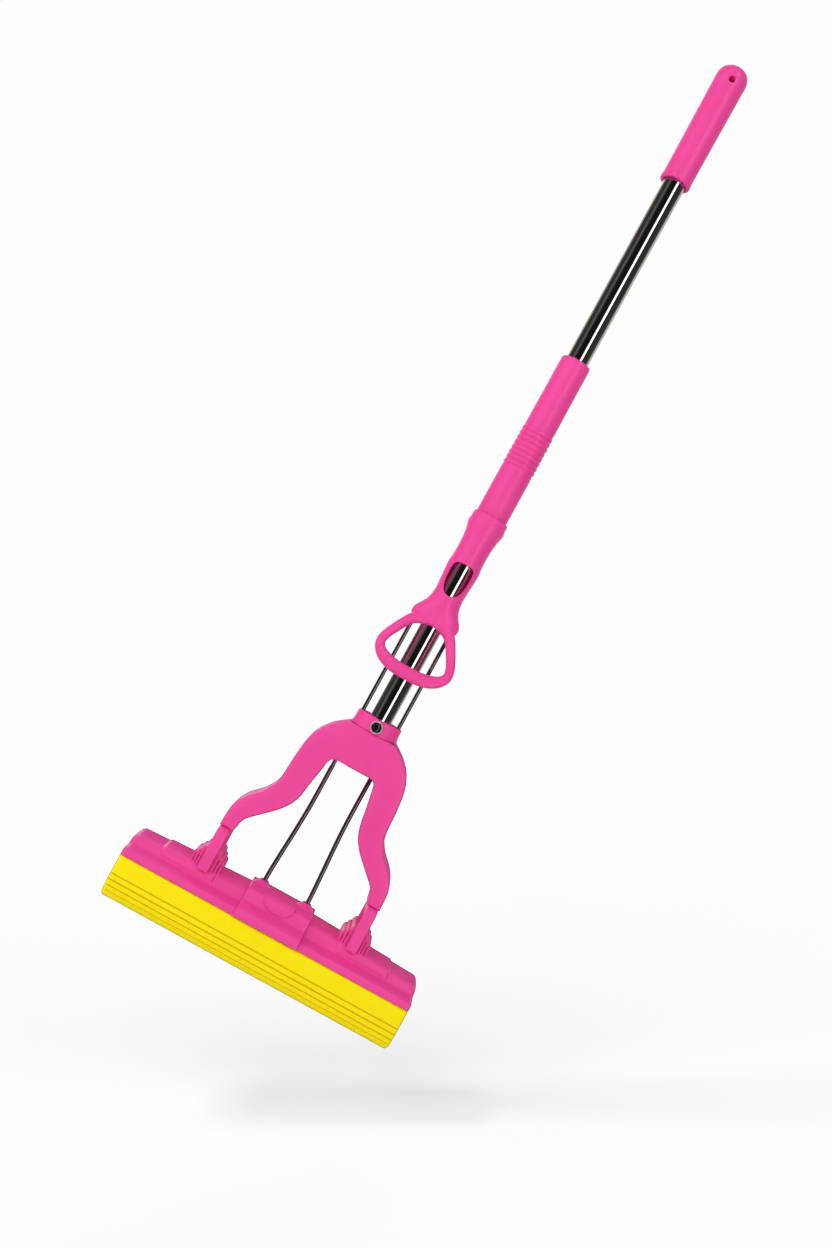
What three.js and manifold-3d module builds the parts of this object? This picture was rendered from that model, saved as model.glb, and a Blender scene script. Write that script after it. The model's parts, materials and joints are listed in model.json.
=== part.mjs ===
// A sponge squeeze mop: a steel pole with a sliding pull handle whose two rods lift the middle of the head, which
// folds the two sponge wings downwards. Millimetres, +Z up the pole, X along the head, -Y the front.
import * as THREE from "three";
import { mergeVertices } from "three/addons/utils/BufferGeometryUtils.js";
import Module from "manifold-3d";

const wasm = await Module();
wasm.setup();

// Driving dimensions
const HEAD_LENGTH = 340;
const SPONGE_HEIGHT = 49.5;
const SPONGE_HALF_DEPTH = 46;
const SHELL_HALF_DEPTH = 44.5;
const SHELL_BOTTOM = 50.5;
const SHELL_TOP = 71;
const SHELL_RISE = 6.5;
const SHELL_LEDGE = 61;
const SHELL_WALL = 3;
const POLE_RADIUS = 12.5;
const POLE_WALL = 1;
const POLE_BOTTOM = 262;
const POLE_TOP = 1058;
const POLE_FIT = 0.4;
const GRIP_BOTTOM = 955;
const GRIP_TOP = 1094;
const HANG_HOLE_Z = 1075;
const HANG_HOLE_RADIUS = 3.8;
const SLEEVE_BOTTOM = 543;
const SLEEVE_TOP = 736;
const SLEEVE_BORE = 14.4;
const RIBS = 8;
const RIB_BAND = [605, 651.5];
const NECK_PROFILE = [
  [16.2, 418],
  [16.4, 440],
  [17.6, 452],
  [19, 482],
  [18.3, 492],
  [17.6, 508],
  [19, 524],
  [21.3, 531],
  [21.5, 537],
  [20.4, 540],
  [20.4, 546],
];
const COLLAR_SEAT = 18;
const WINDOW_HALF = 11.5;
const LOOP_RADIUS = 5.2;
const LOOP_DEPTH = 18;
const LOOP_HALF = [
  [-2, 357],
  [24, 359],
  [36, 364],
  [41, 372],
  [39, 382],
  [33, 396],
  [25, 411],
  [17, 424],
  [12, 434],
];
const ROD_RADIUS = 2.2;
const ROD_X = 21.5;
const ROD_FOOT_X = 26;
const ROD_TOP = 432;
const ROD_FOOT = 58.5;
const ROD_NUT_Z = 62;
const HUB_TOP = 299;
const HUB_BOTTOM = 246;
const BOLT_Z = 291;
const YOKE_DEPTH = 20;
const YOKE_WALL = 3;
const YOKE_SPLIT = 0.15;
const YOKE_TOP = 283;
const YOKE_FOOT = 121.3;
const YOKE_INNER_TOP = 240;
const YOKE_OUTER = [
  [27, YOKE_TOP],
  [45, 269],
  [57, 250],
  [61.5, 222],
  [63.5, 192],
  [72, 174],
  [87, 159],
  [94.5, 144],
  [96.5, 124],
];
const YOKE_INNER = [
  [80.5, 124],
  [76, 138],
  [63, 151],
  [47, 167],
  [37, 183],
  [32.7, 205],
  [28, 228],
  [20, YOKE_INNER_TOP],
];
const YOKE_SCREWS = [
  [46, 248],
  [56, 175],
];
const LEG_X = 89;
const LEG_HALF_WIDTH = 6;
const LEG_INSIDE = 24;
const LEG_OUTSIDE = 30;
const LEG_PIN_Z = 87;
const LEG_PIN_RADIUS = 2.4;
const LEG_BOTTOM = 71.5;
const LEG_SHOULDER = 121;
const BRIDGE_HALF = 37.5;
const BACKING_SCREWS = [60, 140];
const WEDGE_TOP = 42;
const WEDGE_BASE = 60;
const HINGE_X = 30;
const HINGE_Z = 56;
const PULL_TRAVEL = 62;
const FOLD_ANGLE = THREE.MathUtils.degToRad(56);
const GAP = 0.3;
const TURN_SIDES = 20;
const PIN_SIDES = 10;

// Worked out
const HALF_HEAD = HEAD_LENGTH / 2;
const SIDES = [
  ["left", -1],
  ["right", 1],
];

// Solids: closed geometry to a manifold and back
function solid(geometry) {
  const bare = geometry.clone();
  bare.deleteAttribute("normal");
  bare.deleteAttribute("uv");
  const merged = mergeVertices(bare, 1e-4);
  const corners = [];
  for (let i = 0; i < merged.index.count; i += 3) {
    const [a, b, c] = [0, 1, 2].map((k) => merged.index.getX(i + k));
    if (a !== b && b !== c && a !== c) corners.push(a, b, c);
  }
  const make = (list) =>
    new wasm.Manifold(
      new wasm.Mesh({
        numProp: 3,
        vertProperties: new Float32Array(merged.attributes.position.array),
        triVerts: new Uint32Array(list),
      }),
    );
  const made = make(corners);
  if (made.volume() > 0) return made;
  for (let i = 0; i < corners.length; i += 3) {
    [corners[i], corners[i + 1]] = [corners[i + 1], corners[i]];
  }
  return make(corners);
}

function geometryOf(manifold) {
  const mesh = manifold.getMesh();
  const positions = new Float32Array(mesh.numVert * 3);
  for (let i = 0; i < mesh.numVert; i++) {
    positions.set(
      mesh.vertProperties.subarray(i * mesh.numProp, i * mesh.numProp + 3),
      i * 3,
    );
  }
  return new THREE.BufferGeometry()
    .setAttribute("position", new THREE.BufferAttribute(positions, 3))
    .setIndex(new THREE.BufferAttribute(new Uint32Array(mesh.triVerts), 1));
}

const join = (first, ...rest) => rest.reduce((a, b) => a.add(b), first);
const cut = (first, ...rest) => rest.reduce((a, b) => a.subtract(b), first);

// Shape helpers, each giving a manifold in the mop's frame
function box(x0, x1, y0, y1, z0, z1) {
  const geometry = new THREE.BoxGeometry(x1 - x0, y1 - y0, z1 - z0);
  geometry.translate((x0 + x1) / 2, (y0 + y1) / 2, (z0 + z1) / 2);
  return solid(geometry);
}

function turned(profile, segments = TURN_SIDES) {
  const points = profile.map(([r, z]) => new THREE.Vector2(r, z));
  const geometry = new THREE.LatheGeometry(points, segments);
  geometry.rotateX(Math.PI / 2);
  return solid(geometry);
}

const ring = (inner, outer, z0, z1, segments = TURN_SIDES) =>
  turned(
    [
      [inner, z0],
      [outer, z0],
      [outer, z1],
      [inner, z1],
      [inner, z0],
    ],
    segments,
  );

// A round bar along Y through (x, z)
function crossBar(x, z, radius, y0, y1, segments = PIN_SIDES) {
  const geometry = new THREE.CylinderGeometry(
    radius,
    radius,
    y1 - y0,
    segments,
  );
  geometry.translate(x, (y0 + y1) / 2, z);
  return solid(geometry);
}

function upright(x, y, radius, z0, z1, segments = PIN_SIDES) {
  const geometry = new THREE.CylinderGeometry(
    radius,
    radius,
    z1 - z0,
    segments,
  );
  geometry.rotateX(Math.PI / 2);
  geometry.translate(x, y, (z0 + z1) / 2);
  return solid(geometry);
}

// An outline in X and Z, with depth along Y from y0 to y1
function plate(outline, y0, y1, bevel = 0, curveSegments = 3) {
  const geometry = new THREE.ExtrudeGeometry(outline, {
    depth: y1 - y0 - 2 * bevel,
    bevelEnabled: bevel > 0,
    bevelThickness: bevel,
    bevelSize: bevel,
    bevelOffset: -bevel,
    bevelSegments: 1,
    curveSegments,
  });
  const frame = new THREE.Matrix4().makeBasis(
    new THREE.Vector3(1, 0, 0),
    new THREE.Vector3(0, 0, 1),
    new THREE.Vector3(0, -1, 0),
  );
  geometry.applyMatrix4(frame);
  geometry.translate(0, y1 - bevel, 0);
  return solid(geometry);
}

// An outline in Y and Z, run along X from x0 to x1; lift(x, z) can raise a point
function run(outline, x0, x1, lift = () => 0, curveSegments = 3) {
  const geometry = new THREE.ExtrudeGeometry(outline, {
    depth: x1 - x0,
    bevelEnabled: false,
    curveSegments,
  });
  const frame = new THREE.Matrix4().makeBasis(
    new THREE.Vector3(0, 1, 0),
    new THREE.Vector3(0, 0, 1),
    new THREE.Vector3(1, 0, 0),
  );
  geometry.applyMatrix4(frame);
  geometry.translate(x0, 0, 0);
  const place = geometry.attributes.position;
  for (let i = 0; i < place.count; i++) {
    place.setZ(i, place.getZ(i) + lift(place.getX(i), place.getZ(i)));
  }
  return solid(geometry);
}

// The top of the head rises from its ends towards the bridge
function headRise(x, z) {
  const along = (HALF_HEAD - Math.abs(x)) / (HALF_HEAD - HINGE_X);
  const share = Math.max(0, z - SHELL_LEDGE) / (SHELL_TOP - SHELL_LEDGE);
  return SHELL_RISE * Math.min(1, along) * share;
}

// A round bar along a curve
function bar(curve, radius, steps, sides = 10) {
  const circle = new THREE.Shape().absarc(0, 0, radius, 0, 2 * Math.PI);
  const geometry = new THREE.ExtrudeGeometry(circle, {
    extrudePath: curve,
    steps,
    curveSegments: sides / 2,
    bevelEnabled: false,
  });
  return solid(geometry);
}

function roundedBox(x0, x1, z0, z1, radius) {
  const shape = new THREE.Shape();
  shape.moveTo(x0 + radius, z0);
  shape.lineTo(x1 - radius, z0);
  shape.absarc(x1 - radius, z0 + radius, radius, -Math.PI / 2, 0);
  shape.lineTo(x1, z1 - radius);
  shape.absarc(x1 - radius, z1 - radius, radius, 0, Math.PI / 2);
  shape.lineTo(x0 + radius, z1);
  shape.absarc(x0 + radius, z1 - radius, radius, Math.PI / 2, Math.PI);
  shape.lineTo(x0, z0 + radius);
  shape.absarc(x0 + radius, z0 + radius, radius, Math.PI, 1.5 * Math.PI);
  return shape;
}

const mirrored = (manifold) => manifold.mirror([1, 0, 0]);

// Materials and the tree
const PINK = new THREE.Color(0.83, 0.09, 0.33);
const YELLOW = new THREE.Color(0.96, 0.8, 0.01);
const STEEL = new THREE.Color(0.75, 0.75, 0.76);
const NYLON = new THREE.Color(0.85, 0.85, 0.83);
const BLACK = new THREE.Color(0.03, 0.03, 0.03);
const FINISH = {
  pink: { color: PINK, roughness: 0.35, metalness: 0 },
  sponge: { color: YELLOW, roughness: 0.9, metalness: 0 },
  steel: { color: STEEL, roughness: 0.12, metalness: 1 },
  screw: { color: STEEL, roughness: 0.25, metalness: 1 },
  nylon: { color: NYLON, roughness: 0.5, metalness: 0 },
  black: { color: BLACK, roughness: 0.2, metalness: 0.6 },
};
const mop = new THREE.Group();

function add(name, manifold, finish) {
  const material = new THREE.MeshStandardMaterial(FINISH[finish]);
  const mesh = new THREE.Mesh(geometryOf(manifold), material);
  mesh.name = name;
  mop.add(mesh);
}

// Pole, plug and top grip
function makePole() {
  add(
    "pole_tube",
    ring(POLE_RADIUS - POLE_WALL, POLE_RADIUS, POLE_BOTTOM, POLE_TOP).subtract(
      crossBar(0, BOLT_Z, 2.8, -20, 20),
    ),
    "steel",
  );
  const plugRadius = POLE_RADIUS - POLE_WALL - GAP;
  add(
    "pole_foot_plug",
    turned([
      [0, POLE_BOTTOM - 3],
      [POLE_RADIUS, POLE_BOTTOM - 3],
      [POLE_RADIUS, POLE_BOTTOM - GAP],
      [plugRadius, POLE_BOTTOM - GAP],
      [plugRadius, POLE_BOTTOM + 18],
      [0, POLE_BOTTOM + 18],
    ]),
    "nylon",
  );
  const dome = 12;
  const profile = [
    [0, POLE_TOP + GAP],
    [POLE_RADIUS + GAP, POLE_TOP + GAP],
    [POLE_RADIUS + GAP, GRIP_BOTTOM],
    [16.4, GRIP_BOTTOM],
    [17.2, GRIP_BOTTOM + 1.5],
    [17.2, GRIP_BOTTOM + 4],
    [16.6, GRIP_BOTTOM + 6],
    [17.6, GRIP_TOP - dome],
  ];
  for (let i = 1; i <= 5; i++) {
    const angle = (i / 5) * (Math.PI / 2);
    profile.push([
      i === 5 ? 0 : 17.6 - dome * (1 - Math.cos(angle)) * 1.2,
      GRIP_TOP - dome + dome * Math.sin(angle),
    ]);
  }
  add(
    "top_grip",
    turned(profile).subtract(
      crossBar(0, HANG_HOLE_Z, HANG_HOLE_RADIUS, -25, 25),
    ),
    "pink",
  );
}

// The ribbed sleeve, with two guide bushes that run on the pole
function makeSleeve() {
  const bore = SLEEVE_BORE;
  const [bandBottom, bandTop] = RIB_BAND;
  const pitch = (bandTop - bandBottom) / RIBS;
  const profile = [
    [bore, SLEEVE_BOTTOM],
    [17.7, SLEEVE_BOTTOM],
    [17.5, bandBottom],
  ];
  for (let i = 0; i < RIBS; i++) {
    const z = bandBottom + i * pitch;
    profile.push([18.3, z + 0.45 * pitch]);
    profile.push([17.3, z + 0.95 * pitch]);
  }
  profile.push([16.7, SLEEVE_TOP - 1.5]);
  profile.push([16.2, SLEEVE_TOP]);
  profile.push([bore, SLEEVE_TOP]);
  profile.push([bore, SLEEVE_BOTTOM]);
  add("pull_sleeve", turned(profile), "pink");
  const bushes = [
    ["sleeve_bush_lower", SLEEVE_BOTTOM + 4],
    ["sleeve_bush_upper", SLEEVE_TOP - 20],
  ];
  for (const [name, z] of bushes) {
    add(name, ring(POLE_RADIUS + 0.15, bore - GAP, z, z + 16), "nylon");
  }
}

// The pull handle: collar, windowed neck, shoulders and the finger loop
function makePullHandle() {
  const bore = POLE_RADIUS + POLE_FIT;
  const neckBottom = NECK_PROFILE[0][1];
  const neckTop = NECK_PROFILE[NECK_PROFILE.length - 1][1];
  const neck = turned([
    [bore, neckBottom],
    ...NECK_PROFILE,
    [COLLAR_SEAT, neckTop],
    [COLLAR_SEAT, SLEEVE_BOTTOM - GAP],
    [bore, SLEEVE_BOTTOM - GAP],
    [bore, neckBottom],
  ]);
  const window = new THREE.Shape();
  window.moveTo(-WINDOW_HALF, 484);
  window.lineTo(-WINDOW_HALF, 462);
  window.bezierCurveTo(-WINDOW_HALF, 445, WINDOW_HALF, 445, WINDOW_HALF, 462);
  window.lineTo(WINDOW_HALF, 484);
  window.quadraticCurveTo(0, 490, -WINDOW_HALF, 484);
  const onSide = (side) => LOOP_HALF.map(([x, z]) => new THREE.Vector3(side * x, 0, z));
  const left = onSide(-1).reverse();
  const right = onSide(1).slice(1);
  const lean = (p) => p.setY(Math.max(0, p.z - 385) * 0.3 - LOOP_DEPTH);
  const loop = new THREE.CatmullRomCurve3([...left, ...right].map(lean));
  const shoulders = SIDES.map(([, side]) =>
    turned([
      [0, 411],
      [5.6, 411],
      [6, 418],
      [5.6, 430],
      [3.5, 440],
      [0, 444],
    ], 12).translate([side * ROD_X, 0, 0]),
  );
  const bridge = box(-ROD_X, ROD_X, -7, 7, 417, 436);
  const sockets = SIDES.map(([, side]) =>
    upright(side * ROD_X, 0, ROD_RADIUS + GAP, 400, ROD_TOP + GAP),
  );
  const body = join(neck, bar(loop, LOOP_RADIUS, 26, 8), ...shoulders, bridge);
  add(
    "pull_handle",
    cut(
      body,
      upright(0, 0, bore, 340, SLEEVE_BOTTOM, TURN_SIDES),
      plate(window, -40, 0),
      ...sockets,
    ),
    "pink",
  );
}

// The two lift rods: straight through the hub, splayed below it, with a nut under the bridge block
function makeRods() {
  for (const [name, side] of SIDES) {
    const points = [
      [ROD_X, ROD_TOP],
      [ROD_X, 300],
      [ROD_X, 185],
      [ROD_X + 1, 160],
      [ROD_FOOT_X - 1, 112],
      [ROD_FOOT_X, 93],
      [ROD_FOOT_X, ROD_FOOT],
    ];
    const path = new THREE.CurvePath();
    for (let i = 1; i < points.length; i++) {
      const [a, b] = [points[i - 1], points[i]];
      path.add(
        new THREE.LineCurve3(
          new THREE.Vector3(side * a[0], 0, a[1]),
          new THREE.Vector3(side * b[0], 0, b[1]),
        ),
      );
    }
    add("rod_" + name, bar(path, ROD_RADIUS, 12, 8), "steel");
  }
}

// Hub: the socket that holds the pole, its bolt, washer and nut
function makeHub() {
  const oval = (wide, deep) =>
    new THREE.Shape().absellipse(0, 0, wide, deep, 0, 2 * Math.PI);
  const prism = (wide, deep, z0, z1) => {
    const geometry = new THREE.ExtrudeGeometry(oval(wide, deep), {
      depth: z1 - z0,
      bevelEnabled: false,
      curveSegments: 10,
    });
    geometry.translate(0, 0, z0);
    return solid(geometry);
  };
  const collar = join(
    prism(27.6, 19, 283.3, 287),
    prism(26, 18.2, 286.9, HUB_TOP),
    prism(25, 16, HUB_BOTTOM, 283.4),
    crossBar(0, BOLT_Z, 8, -21.5, 21.5),
  );
  const bores = [
    upright(0, 0, POLE_RADIUS + GAP, POLE_BOTTOM - 3 - GAP, 320, TURN_SIDES),
    crossBar(0, BOLT_Z, 2.9, -30, 30),
    ...SIDES.map(([, side]) =>
      upright(side * ROD_X, 0, ROD_RADIUS + 0.5, 200, 320),
    ),
  ];
  add("hub_socket", cut(collar, ...bores), "pink");
  add("hub_washer", crossWasher(BOLT_Z, 6.8, 3.2, -23.3, -21.8), "screw");
  const dome = new THREE.SphereGeometry(6, 16, 8);
  dome.scale(1, 0.55, 1);
  dome.translate(0, -23.6, BOLT_Z);
  const head = solid(dome).intersect(box(-8, 8, -30, -23.6, 270, 310));
  const recess = crossBar(0, BOLT_Z, 2, -30, -25.4, 6);
  add(
    "hub_bolt",
    join(head, crossBar(0, BOLT_Z, 2.5, -23.7, 26)).subtract(recess),
    "black",
  );
  add("hub_nut", crossNut(0, BOLT_Z, 5, 2.8, 21.8, 26), "screw");
}

function crossWasher(z, outer, inner, y0, y1) {
  return crossBar(0, z, outer, y0, y1, 20).subtract(
    crossBar(0, z, inner, y0 - 1, y1 + 1),
  );
}

function crossNut(x, z, across, inner, y0, y1) {
  return crossBar(x, z, across, y0, y1, 6).subtract(
    crossBar(x, z, inner, y0 - 1, y1 + 1),
  );
}

// Yoke outline, drawn for the right side from the top middle down the outside and back up the inside
function yokeHalf(inset) {
  const offset = (points, shift) =>
    points.map((p, i) => {
      const a = points[Math.max(0, i - 1)];
      const b = points[Math.min(points.length - 1, i + 1)];
      const [dx, dz] = [b[0] - a[0], b[1] - a[1]];
      const length = Math.hypot(dx, dz);
      return [p[0] + (shift * dz) / length, p[1] - (shift * dx) / length];
    });
  return [offset(YOKE_OUTER, inset), offset(YOKE_INNER, inset)];
}

function yokeShape(inset) {
  const [outer, inner] = yokeHalf(inset);
  const shape = new THREE.Shape();
  const toVectors = (list, side) =>
    list.map(([x, z]) => new THREE.Vector2(side * x, z));
  const top = YOKE_TOP - inset;
  const foot = YOKE_FOOT;
  const under = YOKE_INNER_TOP + inset;
  const lastOuter = outer[outer.length - 1][0];
  const firstInner = inner[0][0];
  shape.moveTo(0, top);
  shape.lineTo(outer[0][0], top);
  shape.splineThru(toVectors(outer.slice(1), 1));
  shape.lineTo(lastOuter, foot);
  shape.lineTo(firstInner, foot);
  shape.lineTo(inner[0][0], inner[0][1]);
  shape.splineThru(toVectors(inner.slice(1), 1));
  shape.lineTo(0, under);
  const back = inner.slice().reverse();
  shape.lineTo(-back[0][0], back[0][1]);
  shape.splineThru(toVectors(back.slice(1), -1));
  shape.lineTo(-firstInner, foot);
  shape.lineTo(-lastOuter, foot);
  const rising = outer.slice().reverse();
  shape.lineTo(-rising[0][0], rising[0][1]);
  shape.splineThru(toVectors(rising.slice(1), -1));
  shape.lineTo(-outer[0][0], top);
  shape.lineTo(0, top);
  return shape;
}

function makeYoke() {
  const rodWays = SIDES.map(([, side]) =>
    upright(side * ROD_X, 0, ROD_RADIUS + 0.6, 225, 300),
  );
  const spigot = box(-25.4, 25.4, -16.4, 16.4, HUB_BOTTOM - GAP, 290);
  const screws = (radius, y0, y1) =>
    SIDES.flatMap(([, side]) =>
      YOKE_SCREWS.map(([x, z]) => crossBar(side * x, z, radius, y0, y1)),
    );
  const whole = plate(yokeShape(0), -YOKE_DEPTH, YOKE_DEPTH, 1.5, 2);
  const cavity = plate(
    yokeShape(YOKE_WALL),
    YOKE_WALL - YOKE_DEPTH,
    YOKE_DEPTH - YOKE_WALL,
    0,
    2,
  );
  const posts = screws(5, -18, 18);
  const tenons = SIDES.map(([, side]) =>
    box(side * 88.5 - 4.3, side * 88.5 + 4.3, -16.5, 16.5, 100, 141.3),
  );
  const filled = join(cut(whole, cavity), ...posts);
  const shells = [
    ["yoke_front_shell", box(-120, 120, -60, -YOKE_SPLIT, 100, 300)],
    ["yoke_rear_shell", box(-120, 120, YOKE_SPLIT, 60, 100, 300)],
  ];
  for (const [name, half] of shells) {
    add(
      name,
      cut(
        filled.intersect(half),
        spigot,
        ...rodWays,
        ...screws(1.9, -14, 25),
        ...screws(3.9, 17.2, 25),
        ...tenons,
      ),
      "pink",
    );
  }
  let count = 0;
  for (const [, side] of SIDES) {
    for (const [x, z] of YOKE_SCREWS) {
      count += 1;
      add(
        "yoke_screw_" + count,
        join(
          crossBar(side * x, z, 1.6, -13, 17.6, 12),
          crossBar(side * x, z, 3.5, 17.5, 19.4, 16),
        ).subtract(crossBar(side * x, z, 1.3, 18.6, 22, 4)),
        "screw",
      );
    }
  }
}

// Legs: forks that straddle the lug of each wing, with a pin across them
function makeLegs() {
  const [x0, x1] = [LEG_X - LEG_HALF_WIDTH, LEG_X + LEG_HALF_WIDTH];
  const foot = roundedBox(x0, x1, LEG_BOTTOM, LEG_SHOULDER + 5, 3);
  const fork = cut(
    join(
      plate(foot, -LEG_OUTSIDE, -LEG_INSIDE),
      plate(foot, LEG_INSIDE, LEG_OUTSIDE),
      box(x0, x1, 0.5 - LEG_OUTSIDE, LEG_OUTSIDE - 0.5, LEG_SHOULDER - 9, LEG_SHOULDER),
      box(LEG_X - 4.5, LEG_X + 3.5, -16, 16, LEG_SHOULDER - 3, LEG_SHOULDER + 20),
    ),
    box(x0 - 14, x1 + 14, -50, -16, LEG_SHOULDER, LEG_SHOULDER + 29),
    box(x0 - 14, x1 + 14, 16, 50, LEG_SHOULDER, LEG_SHOULDER + 29),
    crossBar(LEG_X, LEG_PIN_Z, LEG_PIN_RADIUS + POLE_FIT, -28, 28),
  );
  const pin = crossBar(LEG_X, LEG_PIN_Z, LEG_PIN_RADIUS, -27.6, 27.6);
  add("leg_fork_right", fork, "pink");
  add("leg_fork_left", mirrored(fork), "pink");
  add("leg_pin_right", pin, "steel");
  add("leg_pin_left", mirrored(pin), "steel");
}

// Cross-section of the head shell in Y and Z, grown outwards by an offset
function shellSection(offset, bottom) {
  const shape = new THREE.Shape();
  const half = SHELL_HALF_DEPTH + offset;
  const top = SHELL_TOP + offset;
  shape.moveTo(half, bottom);
  shape.lineTo(half, 54 + offset);
  shape.quadraticCurveTo(half - 0.4, 57.5 + offset, half - 5, 58.8 + offset);
  shape.lineTo(28 + offset, 61.5 + offset);
  shape.quadraticCurveTo(25.4 + offset, 62 + offset, 24.6 + offset, 64 + offset);
  shape.quadraticCurveTo(22 + offset, top - 0.6, 12, top);
  shape.lineTo(-12, top);
  shape.quadraticCurveTo(-22 - offset, top - 0.6, -24.6 - offset, 64 + offset);
  shape.quadraticCurveTo(-25.4 - offset, 62 + offset, -28 - offset, 61.5 + offset);
  shape.lineTo(5 - half, 58.8 + offset);
  shape.quadraticCurveTo(0.4 - half, 57.5 + offset, -half, 54 + offset);
  shape.lineTo(-half, bottom);
  return shape;
}

// Where the leg pin is in the folding wing's own frame, for a share of the fold
function pinInWing(share) {
  const angle = share * FOLD_ANGLE;
  const across = LEG_X - HINGE_X;
  const above = LEG_PIN_Z - HINGE_Z - share * PULL_TRAVEL;
  return [
    HINGE_X + across * Math.cos(angle) - above * Math.sin(angle),
    HINGE_Z + across * Math.sin(angle) + above * Math.cos(angle),
  ];
}

function makeWing() {
  const start = HINGE_X + 6;
  const outer = run(shellSection(0, SHELL_BOTTOM), start, HALF_HEAD, headRise);
  const inner = run(
    shellSection(-SHELL_WALL, SHELL_BOTTOM - 1),
    start + SHELL_WALL,
    HALF_HEAD - SHELL_WALL,
    headRise,
  );
  const track = plate(roundedBox(58, 137, 62, 76.2, 1.5), -15, 15);
  const lug = join(
    plate(roundedBox(LEG_X - 17, LEG_X + 17, 62, 89, 8), -17, 17),
    plate(roundedBox(LEG_X - 10.5, LEG_X + 10.5, 62, 96.5, 8), -22.5, 22.5),
  );
  const knuckles = [-30, 30].map((y) =>
    join(
      crossBar(HINGE_X, HINGE_Z, 4.2, y - 5, y + 5, 12),
      box(HINGE_X, start + 4, y - 5, y + 5, 53.5, 58.5),
    ),
  );
  const slot = [];
  const stops = 6;
  for (let i = 0; i <= stops; i++) {
    const [x, z] = pinInWing(i / stops);
    slot.push(crossBar(x, z, 3.8, -30, 30));
  }
  const corner = cornerCut();
  return cut(
    join(cut(outer, inner), track, lug, ...knuckles),
    join(...slot),
    crossBar(HINGE_X, HINGE_Z, 2.6, -50, 50),
    corner,
  );
}

// Rounds the outer top end of a wing as seen from the front
function cornerCut() {
  const radius = 7;
  const shape = new THREE.Shape();
  shape.moveTo(HALF_HEAD - radius, SHELL_TOP + 0.5);
  shape.absarc(
    HALF_HEAD - radius,
    SHELL_TOP - radius,
    radius,
    Math.PI / 2,
    0,
    true,
  );
  shape.lineTo(HALF_HEAD + 1, SHELL_TOP - radius);
  shape.lineTo(HALF_HEAD + 1, SHELL_TOP + 1);
  shape.lineTo(HALF_HEAD - radius, SHELL_TOP + 1);
  return plate(shape, -60, 60);
}

function makeWings() {
  const bosses = BACKING_SCREWS.map((x) => upright(x, 0, 5, 53, 69));
  const pilots = BACKING_SCREWS.map((x) => upright(x, 0, 1.9, 50, 64, 12));
  const right = cut(join(makeWing(), ...bosses), ...pilots);
  add("wing_right", right, "pink");
  add("wing_left", mirrored(right), "pink");
  const board = cut(
    box(40, HALF_HEAD - 4, -40.5, 40.5, 49.8, 52.6),
    ...BACKING_SCREWS.map((x) => upright(x, 0, 2.3, 40, 60, 12)),
    ...BACKING_SCREWS.map((x) => upright(x, 0, 4.3, 40, 51.4, 16)),
  );
  add("backing_right", board, "nylon");
  add("backing_left", mirrored(board), "nylon");
  for (const [name, side] of SIDES) {
    BACKING_SCREWS.forEach((x, i) =>
      add(
        "backing_screw_" + name + "_" + (i + 1),
        join(
          upright(side * x, 0, 1.6, 51, 62, 12),
          upright(side * x, 0, 3.9, 49.8, 51.1, 16),
        ),
        "screw",
      ),
    );
  }
}

// Centre bridge: a saddle over the inner ends of the wings, with the block that the rods lift
function makeBridge() {
  const bridgeRise = (x, z) => headRise(0, z);
  const half = BRIDGE_HALF;
  const saddle = cut(
    run(shellSection(3, SHELL_BOTTOM + 0.5), -half, half, bridgeRise),
    run(shellSection(0.7, SHELL_BOTTOM - 2), -half - 1, half + 1, bridgeRise),
  );
  const block = box(-21, 21, -18, 18, 57, 79);
  const ears = SIDES.flatMap(([, side]) =>
    [-40, -22, 22, 40].map((y) => {
      const x = side * HINGE_X;
      return join(
        crossBar(x, HINGE_Z, 4.6, y - 2.2, y + 2.2, 12),
        box(x - 4, x + 4, y - 2.2, y + 2.2, HINGE_Z, Math.abs(y) > 30 ? 60.5 : 72),
      );
    }),
  );
  const webs = [-22, 22].map((y) => box(-30, 30, y - 2.2, y + 2.2, 60, 70));
  const lugs = SIDES.map(([, side]) =>
    turned([
      [0, 74],
      [8, 74],
      [7.4, 81],
      [5.2, 85.5],
      [4.4, 87.5],
      [0, 87.5],
    ], 16).translate([side * ROD_FOOT_X, 0, 0]),
  );
  const seats = SIDES.map(([, side]) =>
    box(side * ROD_FOOT_X - 6, side * ROD_FOOT_X + 6, -9, 9, 64, 79),
  );
  const rodHoles = SIDES.map(([, side]) =>
    upright(side * ROD_FOOT_X, 0, ROD_RADIUS + GAP, 50, 92),
  );
  const panel = new THREE.Shape();
  panel.moveTo(-19, 77);
  panel.lineTo(19, 77);
  panel.bezierCurveTo(19, 70, 10, 67.5, 0, 67.5);
  panel.bezierCurveTo(-10, 67.5, -19, 70, -19, 77);
  const badge = plate(panel, -27.4, -22);
  add(
    "centre_bridge",
    cut(
      join(saddle, block, ...ears, ...webs, ...seats, ...lugs, badge),
      ...rodHoles,
      ...SIDES.map(([, side]) =>
        crossBar(side * HINGE_X, HINGE_Z, 2.6, -42.5, 42.5),
      ),
    ),
    "pink",
  );
  for (const [name, side] of SIDES) {
    add(
      "bridge_pin_" + name,
      crossBar(side * HINGE_X, HINGE_Z, 2.2, -42, 42),
      "steel",
    );
    const nut = new THREE.CylinderGeometry(4, 4, 3, 6);
    nut.rotateX(Math.PI / 2);
    nut.translate(side * ROD_FOOT_X, 0, ROD_NUT_Z);
    add(
      "rod_nut_" + name,
      solid(nut).subtract(
        upright(side * ROD_FOOT_X, 0, ROD_RADIUS + GAP, 50, 70, 16),
      ),
      "screw",
    );
  }
}

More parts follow.
